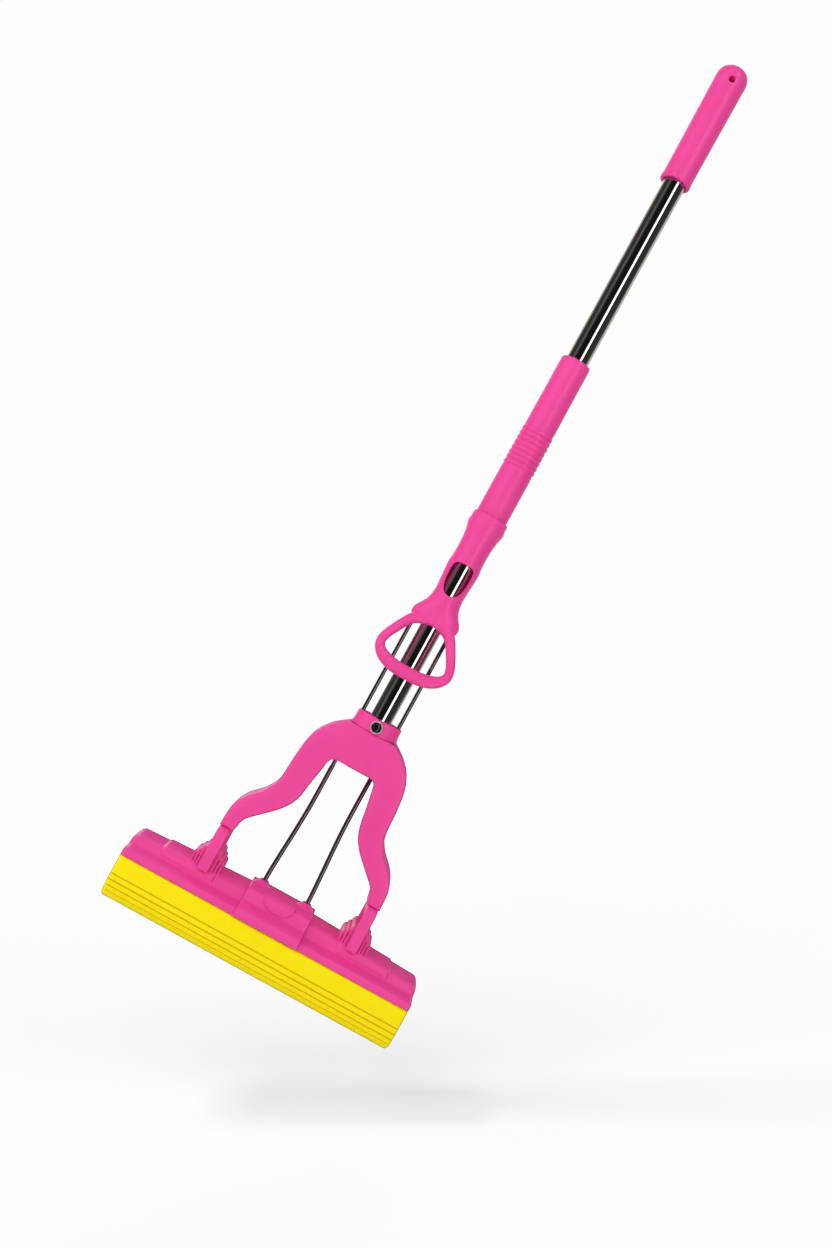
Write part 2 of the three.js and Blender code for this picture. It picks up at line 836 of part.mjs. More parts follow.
// Sponge section in Y and Z: flat top and base, a full front and back that curve under
function spongeSection() {
  const half = SPONGE_HALF_DEPTH;
  const top = SPONGE_HEIGHT;
  const shape = new THREE.Shape();
  shape.moveTo(-31, 0);
  shape.lineTo(31, 0);
  shape.bezierCurveTo(39, 0, half, 14, half, 32);
  shape.lineTo(half - 0.8, top);
  shape.lineTo(0.8 - half, top);
  shape.lineTo(-half, 32);
  shape.bezierCurveTo(-half, 14, -39, 0, -31, 0);
  return shape;
}

function makeSponge() {
  const wedge = new THREE.Shape();
  wedge.moveTo(-WEDGE_TOP, 60);
  wedge.lineTo(WEDGE_TOP, 60);
  wedge.lineTo(WEDGE_TOP, SPONGE_HEIGHT);
  wedge.lineTo(WEDGE_BASE, 0);
  wedge.lineTo(WEDGE_BASE, -5);
  wedge.lineTo(-WEDGE_BASE, -5);
  wedge.lineTo(-WEDGE_BASE, 0);
  wedge.lineTo(-WEDGE_TOP, SPONGE_HEIGHT);
  wedge.lineTo(-WEDGE_TOP, 60);
  const middle = plate(wedge, -60, 60);
  const slab = run(spongeSection(), -HALF_HEAD, HALF_HEAD);
  add("sponge_centre", slab.intersect(middle), "sponge");
  const right = slab
    .subtract(middle.translate([GAP, 0, 0]))
    .intersect(box(0, 200, -60, 60, -5, 60));
  add("sponge_right", right, "sponge");
  add("sponge_left", mirrored(right), "sponge");
}

makePole();
makeSleeve();
makePullHandle();
makeRods();
makeHub();
makeYoke();
makeLegs();
makeWings();
makeBridge();
makeSponge();

export default mop;
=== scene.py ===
"""The squeeze mop's visual model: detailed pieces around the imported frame, materials, light and camera."""
import json
import math

import bmesh
import bpy
from mathutils import Matrix, Vector, noise


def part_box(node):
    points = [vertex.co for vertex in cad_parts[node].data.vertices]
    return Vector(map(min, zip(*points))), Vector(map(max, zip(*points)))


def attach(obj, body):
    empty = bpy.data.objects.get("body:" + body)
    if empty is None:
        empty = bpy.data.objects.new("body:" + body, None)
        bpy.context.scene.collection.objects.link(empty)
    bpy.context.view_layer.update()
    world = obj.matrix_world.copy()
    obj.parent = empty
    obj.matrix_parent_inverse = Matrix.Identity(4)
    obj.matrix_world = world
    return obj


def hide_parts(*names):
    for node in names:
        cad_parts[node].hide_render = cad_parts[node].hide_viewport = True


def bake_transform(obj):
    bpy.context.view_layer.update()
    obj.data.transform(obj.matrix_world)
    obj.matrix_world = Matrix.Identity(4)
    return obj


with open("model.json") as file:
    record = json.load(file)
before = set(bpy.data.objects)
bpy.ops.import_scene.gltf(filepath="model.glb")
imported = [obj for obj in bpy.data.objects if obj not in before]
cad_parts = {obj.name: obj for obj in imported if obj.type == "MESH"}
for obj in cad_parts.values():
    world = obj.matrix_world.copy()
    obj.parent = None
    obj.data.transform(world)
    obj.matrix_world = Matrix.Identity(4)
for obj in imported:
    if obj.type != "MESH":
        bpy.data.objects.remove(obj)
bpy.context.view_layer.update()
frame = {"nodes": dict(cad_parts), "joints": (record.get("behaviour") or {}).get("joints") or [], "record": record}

MM = 0.001
ROUND, FINE = 72, 96  # sides of a turned piece, and of the ones that show most
SIDES = (("left", -1), ("right", 1))

# The head's sizes come from the CAD nodes, in millimetres
low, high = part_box("wing_right")
HALF_HEAD = high[0] / MM
SHELL_HALF = high[1] / MM
SHELL_BOTTOM = low[2] / MM
low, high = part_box("sponge_right")
SPONGE_TOP = high[2] / MM
low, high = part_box("top_grip")
GRIP_BOTTOM, GRIP_TOP = low[2] / MM, high[2] / MM
low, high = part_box("pull_sleeve")
SLEEVE_BOTTOM, SLEEVE_TOP = low[2] / MM, high[2] / MM
low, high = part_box("pole_tube")
POLE_RADIUS, POLE_BOTTOM, POLE_TOP = high[0] / MM, low[2] / MM, high[2] / MM
low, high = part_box("hub_washer")
BOLT_Z = (low[2] + high[2]) / 2 / MM
low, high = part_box("leg_pin_right")
LEG_X, LEG_PIN_Z = (low[0] + high[0]) / 2 / MM, (low[2] + high[2]) / 2 / MM
LEG_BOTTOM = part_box("leg_fork_right")[0][2] / MM
low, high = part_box("bridge_pin_right")
HINGE_X, HINGE_Z = (low[0] + high[0]) / 2 / MM, (low[2] + high[2]) / 2 / MM
SHELL_TOP, SHELL_LEDGE, SHELL_RISE = 71, 61, 6.5
ROD_X, ROD_FOOT_X, ROD_RADIUS = 21.5, 26, 2.2
BRIDGE_BOTTOM = SHELL_BOTTOM + 0.5
BRIDGE_OUTSIDE, BRIDGE_INSIDE = 2.9, 0.7  # how far the bridge's two faces stand off the shell


# ---------------------------------------------------------------- materials
def new_material(name):
    made = bpy.data.materials.new(name)
    made.use_nodes = True
    nodes = made.node_tree.nodes
    return made, nodes, made.node_tree.links, nodes["Principled BSDF"]


def object_coordinates(nodes, links, stretch=(1, 1, 1)):
    coordinates = nodes.new("ShaderNodeTexCoord")
    mapping = nodes.new("ShaderNodeMapping")
    mapping.inputs["Scale"].default_value = stretch
    links.new(coordinates.outputs["Object"], mapping.inputs["Vector"])
    return mapping.outputs["Vector"]


def noise_texture(nodes, links, vector, scale, detail=3.0, roughness=0.5):
    texture = nodes.new("ShaderNodeTexNoise")
    texture.inputs["Scale"].default_value = scale
    texture.inputs["Detail"].default_value = detail
    texture.inputs["Roughness"].default_value = roughness
    links.new(vector, texture.inputs["Vector"])
    return texture.outputs["Fac"]


def spread(nodes, links, value, low_value, high_value, start=0.3, stop=0.7):
    ranged = nodes.new("ShaderNodeMapRange")
    ranged.inputs["From Min"].default_value = start
    ranged.inputs["From Max"].default_value = stop
    ranged.inputs["To Min"].default_value = low_value
    ranged.inputs["To Max"].default_value = high_value
    links.new(value, ranged.inputs["Value"])
    return ranged.outputs["Result"]


def mixed(nodes, links, factor, first, second):
    mix = nodes.new("ShaderNodeMix")
    mix.data_type = "RGBA"
    links.new(factor, mix.inputs["Factor"])
    mix.inputs[6].default_value = (*first, 1)
    mix.inputs[7].default_value = (*second, 1)
    return mix.outputs[2]


def bumped(nodes, links, height, strength, distance, normal=None):
    bump = nodes.new("ShaderNodeBump")
    bump.inputs["Strength"].default_value = strength
    bump.inputs["Distance"].default_value = distance
    links.new(height, bump.inputs["Height"])
    if normal is not None:
        links.new(normal, bump.inputs["Normal"])
    return bump.outputs["Normal"]


def pink_plastic(name="pink_plastic", rough=(0.36, 0.40)):
    """Moulded polypropylene: even hot pink, a fine satin texture and slow sink-mark waviness."""
    made, nodes, links, shader = new_material(name)
    vector = object_coordinates(nodes, links)
    slow = noise_texture(nodes, links, vector, 22, 2)
    fine = noise_texture(nodes, links, vector, 1600, 2)
    scuffs = noise_texture(nodes, links, vector, 180, 5, 0.65)
    colour = mixed(nodes, links, spread(nodes, links, slow, 0, 1), (0.84, 0.048, 0.310), (0.88, 0.056, 0.335))
    links.new(colour, shader.inputs["Base Color"])
    links.new(spread(nodes, links, scuffs, *rough), shader.inputs["Roughness"])
    normal = bumped(nodes, links, slow, 0.10, 0.0010)
    normal = bumped(nodes, links, fine, 0.10, 0.000015, normal)
    links.new(normal, shader.inputs["Normal"])
    shader.inputs["Subsurface Weight"].default_value = 0.06
    shader.inputs["Subsurface Radius"].default_value = (0.004, 0.0012, 0.0016)
    shader.inputs["Subsurface Scale"].default_value = 0.6
    shader.inputs["Specular IOR Level"].default_value = 0.5
    return made


def sponge_material():
    """Fine-celled PVA: matte, bright yellow, with open pores, and painted shade that turns it amber in its
    grooves.
    """
    made, nodes, links, shader = new_material("pva_sponge")
    vector = object_coordinates(nodes, links)
    cloud = noise_texture(nodes, links, vector, 60, 4)
    pores = nodes.new("ShaderNodeTexVoronoi")
    pores.inputs["Scale"].default_value = 950
    links.new(vector, pores.inputs["Vector"])
    fine = noise_texture(nodes, links, vector, 2600, 3, 0.7)
    # painted shade: each point's depth share in the grooves, kept on the mesh, darkens the yellow to amber there
    groove_shade = nodes.new("ShaderNodeAttribute")
    groove_shade.attribute_name = "groove_shade"
    face = mixed(nodes, links, spread(nodes, links, cloud, 0, 1), (0.95, 0.775, 0.003), (0.97, 0.80, 0.005))
    deep = nodes.new("ShaderNodeMix")
    deep.data_type = "RGBA"
    links.new(groove_shade.outputs["Fac"], deep.inputs["Factor"])
    links.new(face, deep.inputs[6])
    # the amber of the painted shade deep in the grooves
    deep.inputs[7].default_value = (0.80, 0.50, 0.001, 1)
    links.new(deep.outputs[2], shader.inputs["Base Color"])
    links.new(spread(nodes, links, fine, 0.85, 0.98), shader.inputs["Roughness"])
    normal = bumped(nodes, links, pores.outputs["Distance"], 0.30, 0.00030)
    normal = bumped(nodes, links, fine, 0.35, 0.00015, normal)
    normal = bumped(nodes, links, cloud, 0.10, 0.0008, normal)
    links.new(normal, shader.inputs["Normal"])
    shader.inputs["Specular IOR Level"].default_value = 0.2
    shader.inputs["Subsurface Weight"].default_value = 0.12
    shader.inputs["Subsurface Radius"].default_value = (0.004, 0.003, 0.0005)
    shader.inputs["Subsurface Scale"].default_value = 0.8
    return made


def metal(name, colour, rough, scratch_scale=(1, 1, 0.02), strength=0.05):
    """Bright metal with faint drawn lines along Z and smudges in its polish."""
    made, nodes, links, shader = new_material(name)
    along = object_coordinates(nodes, links, scratch_scale)
    lines = noise_texture(nodes, links, along, 2200, 3)
    smudge = noise_texture(nodes, links, object_coordinates(nodes, links), 45, 4)
    darker = tuple(0.93 * c for c in colour)
    tint = mixed(nodes, links, spread(nodes, links, smudge, 0, 1), darker, colour)
    links.new(tint, shader.inputs["Base Color"])
    links.new(spread(nodes, links, smudge, rough * 0.75, rough * 1.35), shader.inputs["Roughness"])
    links.new(bumped(nodes, links, lines, strength, 0.00004), shader.inputs["Normal"])
    shader.inputs["Metallic"].default_value = 1
    return made


def black_gloss():
    """A blackened screw head, glossy and slightly worn."""
    made, nodes, links, shader = new_material("black_screw")
    vector = object_coordinates(nodes, links)
    wear = noise_texture(nodes, links, vector, 500, 4)
    colour = mixed(nodes, links, spread(nodes, links, wear, 0, 1), (0.010, 0.010, 0.012), (0.03, 0.03, 0.034))
    links.new(colour, shader.inputs["Base Color"])
    links.new(spread(nodes, links, wear, 0.10, 0.22), shader.inputs["Roughness"])
    links.new(bumped(nodes, links, wear, 0.05, 0.0001), shader.inputs["Normal"])
    shader.inputs["Metallic"].default_value = 0.5
    return made


def nylon_material():
    """Off-white nylon with a fine satin grain."""
    made, nodes, links, shader = new_material("natural_nylon")
    vector = object_coordinates(nodes, links)
    cloud = noise_texture(nodes, links, vector, 40, 3)
    fine = noise_texture(nodes, links, vector, 1500, 2)
    colour = mixed(nodes, links, spread(nodes, links, cloud, 0, 1), (0.66, 0.65, 0.60), (0.74, 0.73, 0.69))
    links.new(colour, shader.inputs["Base Color"])
    links.new(spread(nodes, links, fine, 0.42, 0.58), shader.inputs["Roughness"])
    links.new(bumped(nodes, links, fine, 0.08, 0.0001), shader.inputs["Normal"])
    return made


PINK = pink_plastic()
PINK_GRIP = pink_plastic("pink_grip_plastic", (0.38, 0.43))
SPONGE = sponge_material()
CHROME = metal("polished_tube", (0.80, 0.78, 0.75), 0.035)
WIRE = metal("drawn_wire", (0.19, 0.185, 0.18), 0.10)
ZINC = metal("zinc_plate", (0.70, 0.70, 0.69), 0.24, (1, 1, 1), 0.12)
RING = metal("satin_ring", (0.86, 0.85, 0.84), 0.30, (1, 1, 1), 0.10)
RING.node_tree.nodes["Principled BSDF"].inputs["Metallic"].default_value = 0.45
BLACK = black_gloss()
NYLON = nylon_material()


# ---------------------------------------------------------------- mesh helpers
def piece(name, vertices, faces, material, sharp=38):
    """A new object from points in millimetres, smooth except at edges sharper than an angle."""
    mesh = bpy.data.meshes.new(name)
    mesh.from_pydata([Vector(v) * MM for v in vertices], [], faces)
    made = bpy.data.objects.new(name, mesh)
    bpy.context.scene.collection.objects.link(made)
    mesh.materials.append(material)
    finish_mesh(made, sharp)
    return made


def finish_mesh(made, sharp=38):
    """Merges doubled points, turns the faces outwards and shades them."""
    work = bmesh.new()
    work.from_mesh(made.data)
    bmesh.ops.remove_doubles(work, verts=work.verts, dist=1e-7)
    bmesh.ops.recalc_face_normals(work, faces=work.faces)
    work.to_mesh(made.data)
    work.free()
    made.data.shade_smooth()
    made.data.set_sharp_from_angle(angle=math.radians(sharp))


def apply_modifiers(made, sharp=38):
    """Makes the modifiers' result the object's own mesh."""
    depsgraph = bpy.context.evaluated_depsgraph_get()
    mesh = bpy.data.meshes.new_from_object(made.evaluated_get(depsgraph))
    made.modifiers.clear()
    made.data = mesh
    mesh.shade_smooth()
    mesh.set_sharp_from_angle(angle=math.radians(sharp))


def bevel(made, width, segments=3, angle=35):
    modifier = made.modifiers.new("edge", "BEVEL")
    modifier.width = width * MM
    modifier.segments = segments
    modifier.limit_method = "ANGLE"
    modifier.angle_limit = math.radians(angle)
    apply_modifiers(made)
    return made


def boolean(made, cutter, operation="DIFFERENCE"):
    """Cuts, or joins, one closed piece with another, which is used up."""
    modifier = made.modifiers.new("cut", "BOOLEAN")
    modifier.operation = operation
    modifier.solver = "MANIFOLD"
    modifier.object = cutter
    bpy.context.view_layer.update()
    apply_modifiers(made)
    bpy.data.objects.remove(cutter)


def lathe(name, profile, material, sides=ROUND, at=(0, 0), sharp=38):
    """Turns (radius, z) points round Z. Ends on the axis close; otherwise the profile closes on itself."""
    vertices, faces, rows = [], [], []
    for radius, z in profile:
        if radius == 0:
            rows.append([len(vertices)])
            vertices.append((at[0], at[1], z))
            continue
        rows.append(range(len(vertices), len(vertices) + sides))
        for i in range(sides):
            angle = 2 * math.pi * i / sides
            vertices.append((at[0] + radius * math.cos(angle), at[1] + radius * math.sin(angle), z))
    closed = profile[0][0] > 0 and profile[-1][0] > 0
    pairs = list(zip(rows, rows[1:])) + ([(rows[-1], rows[0])] if closed else [])
    for first, second in pairs:
        for i in range(sides):
            j = (i + 1) % sides
            a, b = first[i % len(first)], first[j % len(first)]
            c, d = second[j % len(second)], second[i % len(second)]
            corners = list(dict.fromkeys((a, b, c, d)))
            if len(corners) > 2:
                faces.append(corners)
    return piece(name, vertices, faces, material, sharp)


def cylinder(radius, start, stop, sides, at=(0, 0)):
    """A plain round bar along Z, to cut with or to join on."""
    return lathe("bar", [(0, start), (radius, start), (radius, stop), (0, stop)], PINK, sides, at)


def mirror(made):
    """Turns a right-hand piece into a left-hand one."""
    made.data.transform(Matrix.Scale(-1, 4, (1, 0, 0)))
    made.data.flip_normals()


def stacked_faces(levels, count):
    """Faces between stacked rings of count points, with a flat cap on the first and on the last."""
    faces = []
    for i in range(levels - 1):
        for k in range(count):
            j = (k + 1) % count
            faces.append((i * count + k, i * count + j, (i + 1) * count + j, (i + 1) * count + k))
    faces.append(tuple(reversed(range(count))))
    faces.append(tuple(range((levels - 1) * count, levels * count)))
    return faces


def turn_to_y(made, x, z):
    """Lays a piece turned round Z along Y, through (x, z)."""
    made.data.transform(Matrix.Translation((x * MM, 0, z * MM)) @ Matrix.Rotation(math.radians(90), 4, "X"))
    return made


def smooth_line(points, per_span=6, closed=False):
    """Catmull-Rom through points of two or three numbers."""
    vectors = [Vector((*p, 0)[:3]) for p in points]
    count = len(vectors)
    result = []
    for i in range(count if closed else count - 1):
        if closed:
            a, b, c, d = (vectors[(i + k - 1) % count] for k in range(4))
        else:
            a, b, c, d = (vectors[min(max(i + k - 1, 0), count - 1)] for k in range(4))
        for k in range(per_span):
            t = k / per_span
            result.append(0.5 * ((2 * b) + (c - a) * t + (2 * a - 5 * b + 4 * c - d) * t * t
                                 + (3 * b - a - 3 * c + d) * t ** 3))
    if not closed:
        result.append(vectors[-1])
    return result


def inset_ring(ring, amount):
    """An anticlockwise ring of (x, z) moved inwards.

    Where the ring is too tight for that, a point takes the place of its nearest neighbour with clearance.
    """
    count = len(ring)
    result = []
    for i in range(count):
        before, here, after = ring[i - 1], ring[i], ring[(i + 1) % count]
        d1 = Vector((here[0] - before[0], here[1] - before[1]))
        d2 = Vector((after[0] - here[0], after[1] - here[1]))
        d1, d2 = d1.normalized(), d2.normalized()
        n1, n2 = Vector((-d1.y, d1.x)), Vector((-d2.y, d2.x))
        middle = (n1 + n2).normalized()
        reach = amount / max(0.45, middle.dot(n1))
        result.append((here[0] + middle.x * reach, here[1] + middle.y * reach))
    if amount < 0.4:
        return result
    points = [Vector(p) for p in ring]
    good = [clearance(Vector(p), points) > 0.96 * amount for p in result]
    kept = list(result)
    for i in range(count):
        if not good[i]:
            back = next(k for k in range(1, count) if good[i - k])
            ahead = next(k for k in range(1, count) if good[(i + k) % count])
            kept[i] = result[i - back] if back <= ahead else result[(i + ahead) % count]
    return kept


def clearance(point, ring):
    """The distance from a point to a closed ring."""
    nearest = 1e9
    for a, b in zip(ring, ring[1:] + ring[:1]):
        along = b - a
        share = max(0, min(1, (point - a).dot(along) / max(1e-12, along.dot(along))))
        nearest = min(nearest, (point - a - along * share).length)
    return nearest


def soft_plate(ring, y_front, y_back, radius_front, radius_back, steps=5, name="plate"):
    """A plate with an outline in X and Z and rounded front and back edges."""
    levels = []
    for k in range(steps + 1):
        angle = math.pi / 2 * k / steps
        levels.append((radius_front * (1 - math.sin(angle)), y_front + radius_front * (1 - math.cos(angle))))
    for k in range(steps + 1):
        angle = math.pi / 2 * k / steps
        levels.append((radius_back * (1 - math.cos(angle)), y_back - radius_back * (1 - math.sin(angle))))
    vertices = [(x, y, z) for amount, y in levels for x, z in inset_ring(ring, amount)]
    return piece(name, vertices, stacked_faces(len(levels), len(ring)), PINK)


def rounded_ring(x0, x1, z0, z1, radius, steps=6):
    """An anticlockwise rounded rectangle in X and Z."""
    corners = ((x1 - radius, z0 + radius, -90), (x1 - radius, z1 - radius, 0),
               (x0 + radius, z1 - radius, 90), (x0 + radius, z0 + radius, 180))
    ring = []
    for cx, cz, start in corners:
        for k in range(steps + 1):
            angle = math.radians(start + 90 * k / steps)
            ring.append((cx + radius * math.cos(angle), cz + radius * math.sin(angle)))
    return ring


def box_piece(x0, x1, y0, y1, z0, z1, radius=0, material=PINK):
    """A box, its edges rounded if a radius is given, to cut with or to join on."""
    vertices = [(x, y, z) for x in (x0, x1) for y in (y0, y1) for z in (z0, z1)]
    faces = [(0, 1, 3, 2), (4, 6, 7, 5), (0, 4, 5, 1), (2, 3, 7, 6), (0, 2, 6, 4), (1, 5, 7, 3)]
    made = piece("box", vertices, faces, material)
    return bevel(made, radius) if radius else made


def place(made, body, slot, *nodes):
    """Puts a finished piece on its body and hides the CAD nodes that it stands for; the material slot is not used.
    """
    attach(made, body)
    if nodes:
        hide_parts(*nodes)


# ---------------------------------------------------------------- camera
LEAN = math.radians(28.75)  # how far the view and its room lean against the pole
RIGHT = Vector((math.cos(LEAN), 0, math.sin(LEAN)))
UP = Vector((-math.sin(LEAN), 0, math.cos(LEAN)))
CAMERA_DISTANCE = 1.25
CAMERA_X, CAMERA_Z = -0.016, 0.407
VIEW_HEIGHT = 1.3416  # what the view takes in at the pole, from top to bottom
SENSOR = 36


def make_camera():
    data = bpy.data.cameras.new("camera")
    camera = bpy.data.objects.new("camera", data)
    bpy.context.scene.collection.objects.link(camera)
    data.sensor_width = data.sensor_height = SENSOR
    data.lens = SENSOR * CAMERA_DISTANCE / VIEW_HEIGHT
    turn = Matrix((RIGHT, UP, Vector((0, -1, 0)))).transposed().to_4x4()
    camera.matrix_world = Matrix.Translation((CAMERA_X, -CAMERA_DISTANCE, CAMERA_Z)) @ turn
    bpy.context.scene.camera = camera


# ---------------------------------------------------------------- pole, grip, sleeve
POLE_WALL = 1.0
HANG_HOLE_RADIUS, HANG_HOLE_Z = 3.8, 1075
RIB_BAND, RIB_BAND_HEIGHT, RIBS = 605, 46.5, 8


def make_pole():
    outside, inside = POLE_RADIUS, POLE_RADIUS - POLE_WALL
    section = [(inside, POLE_BOTTOM), (outside, POLE_BOTTOM), (outside, POLE_TOP), (inside, POLE_TOP)]
    place(lathe("pole_tube_polished", section, CHROME, FINE), "frame", "pole", "pole_tube")


def make_grip():
    b, t = GRIP_BOTTOM, GRIP_TOP
    profile = [(12.9, b + 6), (12.9, b + 0.8), (13.6, b), (16.0, b), (16.9, b + 0.5), (17.3, b + 1.6),
               (17.3, b + 3.6), (17.0, b + 4.8), (16.75, b + 6.2), (16.7, b + 9)]
    for k in range(1, 9):
        share = k / 8
        profile.append((16.7 + 0.85 * share ** 1.3, b + 9 + (t - 13 - b - 9) * share))
    for k in range(1, 13):
        angle = math.pi / 2 * k / 12
        radius = 0 if k == 12 else 6.2 + 11.35 * math.cos(angle) ** 0.9
        profile.append((radius, t - 13 + 13 * math.sin(angle)))
    grip = lathe("top_grip_moulded", [(0, b + 6)] + profile, PINK_GRIP, FINE)
    boolean(grip, turn_to_y(cylinder(HANG_HOLE_RADIUS, -30, 30, 48), 0, HANG_HOLE_Z))
    bevel(grip, 0.55, 3, 50)
    place(grip, "frame", "pink_shell", "top_grip")


def make_sleeve():
    bottom, top = SLEEVE_BOTTOM, SLEEVE_TOP
    pitch = RIB_BAND_HEIGHT / RIBS
    profile = [(14.4, bottom), (17.2, bottom), (17.7, bottom + 0.6), (17.75, 575), (17.7, RIB_BAND - 4)]
    for i in range(RIBS):
        z = RIB_BAND + i * pitch
        shrink = 0.5 * i / RIBS
        for k in range(9):
            share = k / 8
            swell = math.sin(math.pi * share) ** 0.45 if 0 < share < 1 else 0
            profile.append((17.05 - shrink + 1.2 * swell, z + pitch * (0.06 + 0.88 * share)))
    profile += [(17.1, RIB_BAND + RIB_BAND_HEIGHT + 4), (16.9, 690), (16.75, top - 5), (16.7, top - 1.4),
                (16.3, top - 0.4), (15.6, top), (13.0, top), (13.0, top - 4), (14.4, top - 4)]
    sleeve = lathe("pull_sleeve_ribbed", profile, PINK_GRIP, FINE, sharp=50)
    place(sleeve, "puller", "pink_shell", "pull_sleeve")


# ---------------------------------------------------------------- pull handle
def finger_loop():
    """A rounded triangular ring: (x, z, half width) up one side, with an oval section."""
    half = [(0, 356.4, 7.5), (14, 357.1, 7.5), (25, 359.4, 7.2), (34, 363.8, 6.3), (39.4, 370.2, 5.5),
            (40.3, 376, 5.2), (38.2, 384, 5.2), (33.4, 393.5, 5.4), (28.6, 402, 5.6), (23.5, 409.5, 6.0),
            (15, 415.6, 6.6), (0, 418.6, 7.2)]
    route = half + [(-x, z, w) for x, z, w in reversed(half[1:-1])]
    line = smooth_line(route, 6, closed=True)
    count, around = len(line), 24
    vertices, faces = [], []
    for i, here in enumerate(line):
        along = line[(i + 1) % count] - line[i - 1]
        along.z = 0
        along.normalize()
        depth = -18 + max(0, here.y - 388) * 0.30
        for k in range(around):
            angle = 2 * math.pi * k / around
            out = here.z * math.cos(angle)
            vertices.append((here.x + along.y * out, depth + 5.6 * math.sin(angle), here.y - along.x * out))
    for i in range(count):
        for k in range(around):
            a, b = i * around, (i + 1) % count * around
            j = (k + 1) % around
            faces.append((a + k, a + j, b + j, b + k))
    return piece("pull_handle_moulded", vertices, faces, PINK)


def oval_stack(name, levels):
    """Stacked ovals of (z, half width, half depth, middle in Y)."""
    vertices = []
    for z, wide, deep, middle in levels:
        for k in range(ROUND):
            angle = 2 * math.pi * k / ROUND
            vertices.append((wide * math.cos(angle), middle + deep * math.sin(angle), z))
    return piece(name, vertices, stacked_faces(len(levels), ROUND), PINK, 50)


HORN = ((412.5, 24.5, 9, -4.5), (416, 27.2, 10.5, -4), (420, 28, 11.5, -3.6), (424, 27.4, 12.5, -3.2),
        (428, 25.4, 13.3, -2.6), (432, 22.4, 14.2, -2), (437, 19.4, 15.2, -1.2), (443, 17.4, 16, -0.6),
        (450, 16.6, 16.4, -0.2), (458, 16.4, 16.4, 0))
NECK = ((0, 414), (16.4, 414), (16.2, 440), (16.2, 449), (16.8, 458), (17.6, 470), (18.4, 480), (18.5, 484),
        (17.5, 492), (17.1, 504), (17.5, 514), (18.6, 523), (20.0, 529), (21.0, 533), (21.0, 536),
        (20.2, 538.5), (19.9, 540), (20.4, 541.4), (20.3, 544.4), (19.6, 546), (0, 546))


def make_handle():
    """Loop, horn and neck flow into one skin, then the window, the bore and the sockets are cut."""
    body = finger_loop()
    boolean(body, oval_stack("horn", HORN), "UNION")
    boolean(body, lathe("neck", NECK, PINK, 80), "UNION")
    remesh = body.modifiers.new("skin", "REMESH")
    remesh.mode = "VOXEL"
    remesh.voxel_size = 0.85 * MM
    soften = body.modifiers.new("soften", "SMOOTH")
    soften.factor = 0.5
    soften.iterations = 16
    apply_modifiers(body)
    boolean(body, soft_plate(window_outline(), -40, 0, 0.1, 0.1, 1))
    bore = POLE_RADIUS + 0.4
    boolean(body, cylinder(bore, 330, 560, FINE))
    relief = [(0, 444), (bore, 444), (15.4, 448), (15.4, 489), (bore, 493), (0, 493)]
    boolean(body, lathe("relief", relief, PINK, FINE))
    boolean(body, cylinder(18, SLEEVE_BOTTOM - 0.4, 560, FINE))
    for _, side in SIDES:
        boolean(body, cylinder(2.5, 380, 424, 24, (side * ROD_X, 0)))
    body.data.materials.clear()
    body.data.materials.append(PINK)
    place(body, "puller", "pink_shell", "pull_handle")


def window_outline():
    """The oval window in the front of the neck."""
    right = [(0, 449.4), (5, 450.7), (9.2, 455.2), (11.5, 463), (12.2, 472), (12.1, 480), (10.9, 484.6),
             (7, 486.9), (0, 487.5)]
    line = [(p.x, p.y) for p in smooth_line(right, 4)]
    return line + [(-x, z) for x, z in reversed(line) if x > 0.01]


# ---------------------------------------------------------------- rods
def tube_along(name, points, radius, material, sides=20):
    """A round wire along a line of points that lies in the plane of X and Z."""
    vertices = []
    vectors = [Vector(p) for p in points]
    for i, here in enumerate(vectors):
        ahead = vectors[min(i + 1, len(vectors) - 1)]
        behind = vectors[max(i - 1, 0)]
        along = (ahead - behind).normalized()
        across = along.cross(Vector((0, 1, 0))).normalized()
        other = along.cross(across)
        for k in range(sides):
            angle = 2 * math.pi * k / sides
            vertices.append(here + radius * (math.cos(angle) * across + math.sin(angle) * other))
    return piece(name, vertices, stacked_faces(len(vectors), sides), material)


def make_rods():
    for name, side in SIDES:
        route = [(ROD_X, 423.5), (ROD_X, 340), (ROD_X, 260), (ROD_X, 190), (ROD_X + 0.9, 160),
                 (ROD_FOOT_X - 1.2, 118), (ROD_FOOT_X, 92), (ROD_FOOT_X, 58.5)]
        line = smooth_line([(side * x, 0, z) for x, z in route], 8)
        rod = tube_along("lift_rod_" + name, line, ROD_RADIUS, WIRE)
        place(rod, "puller", "rod_wire", "rod_" + name)


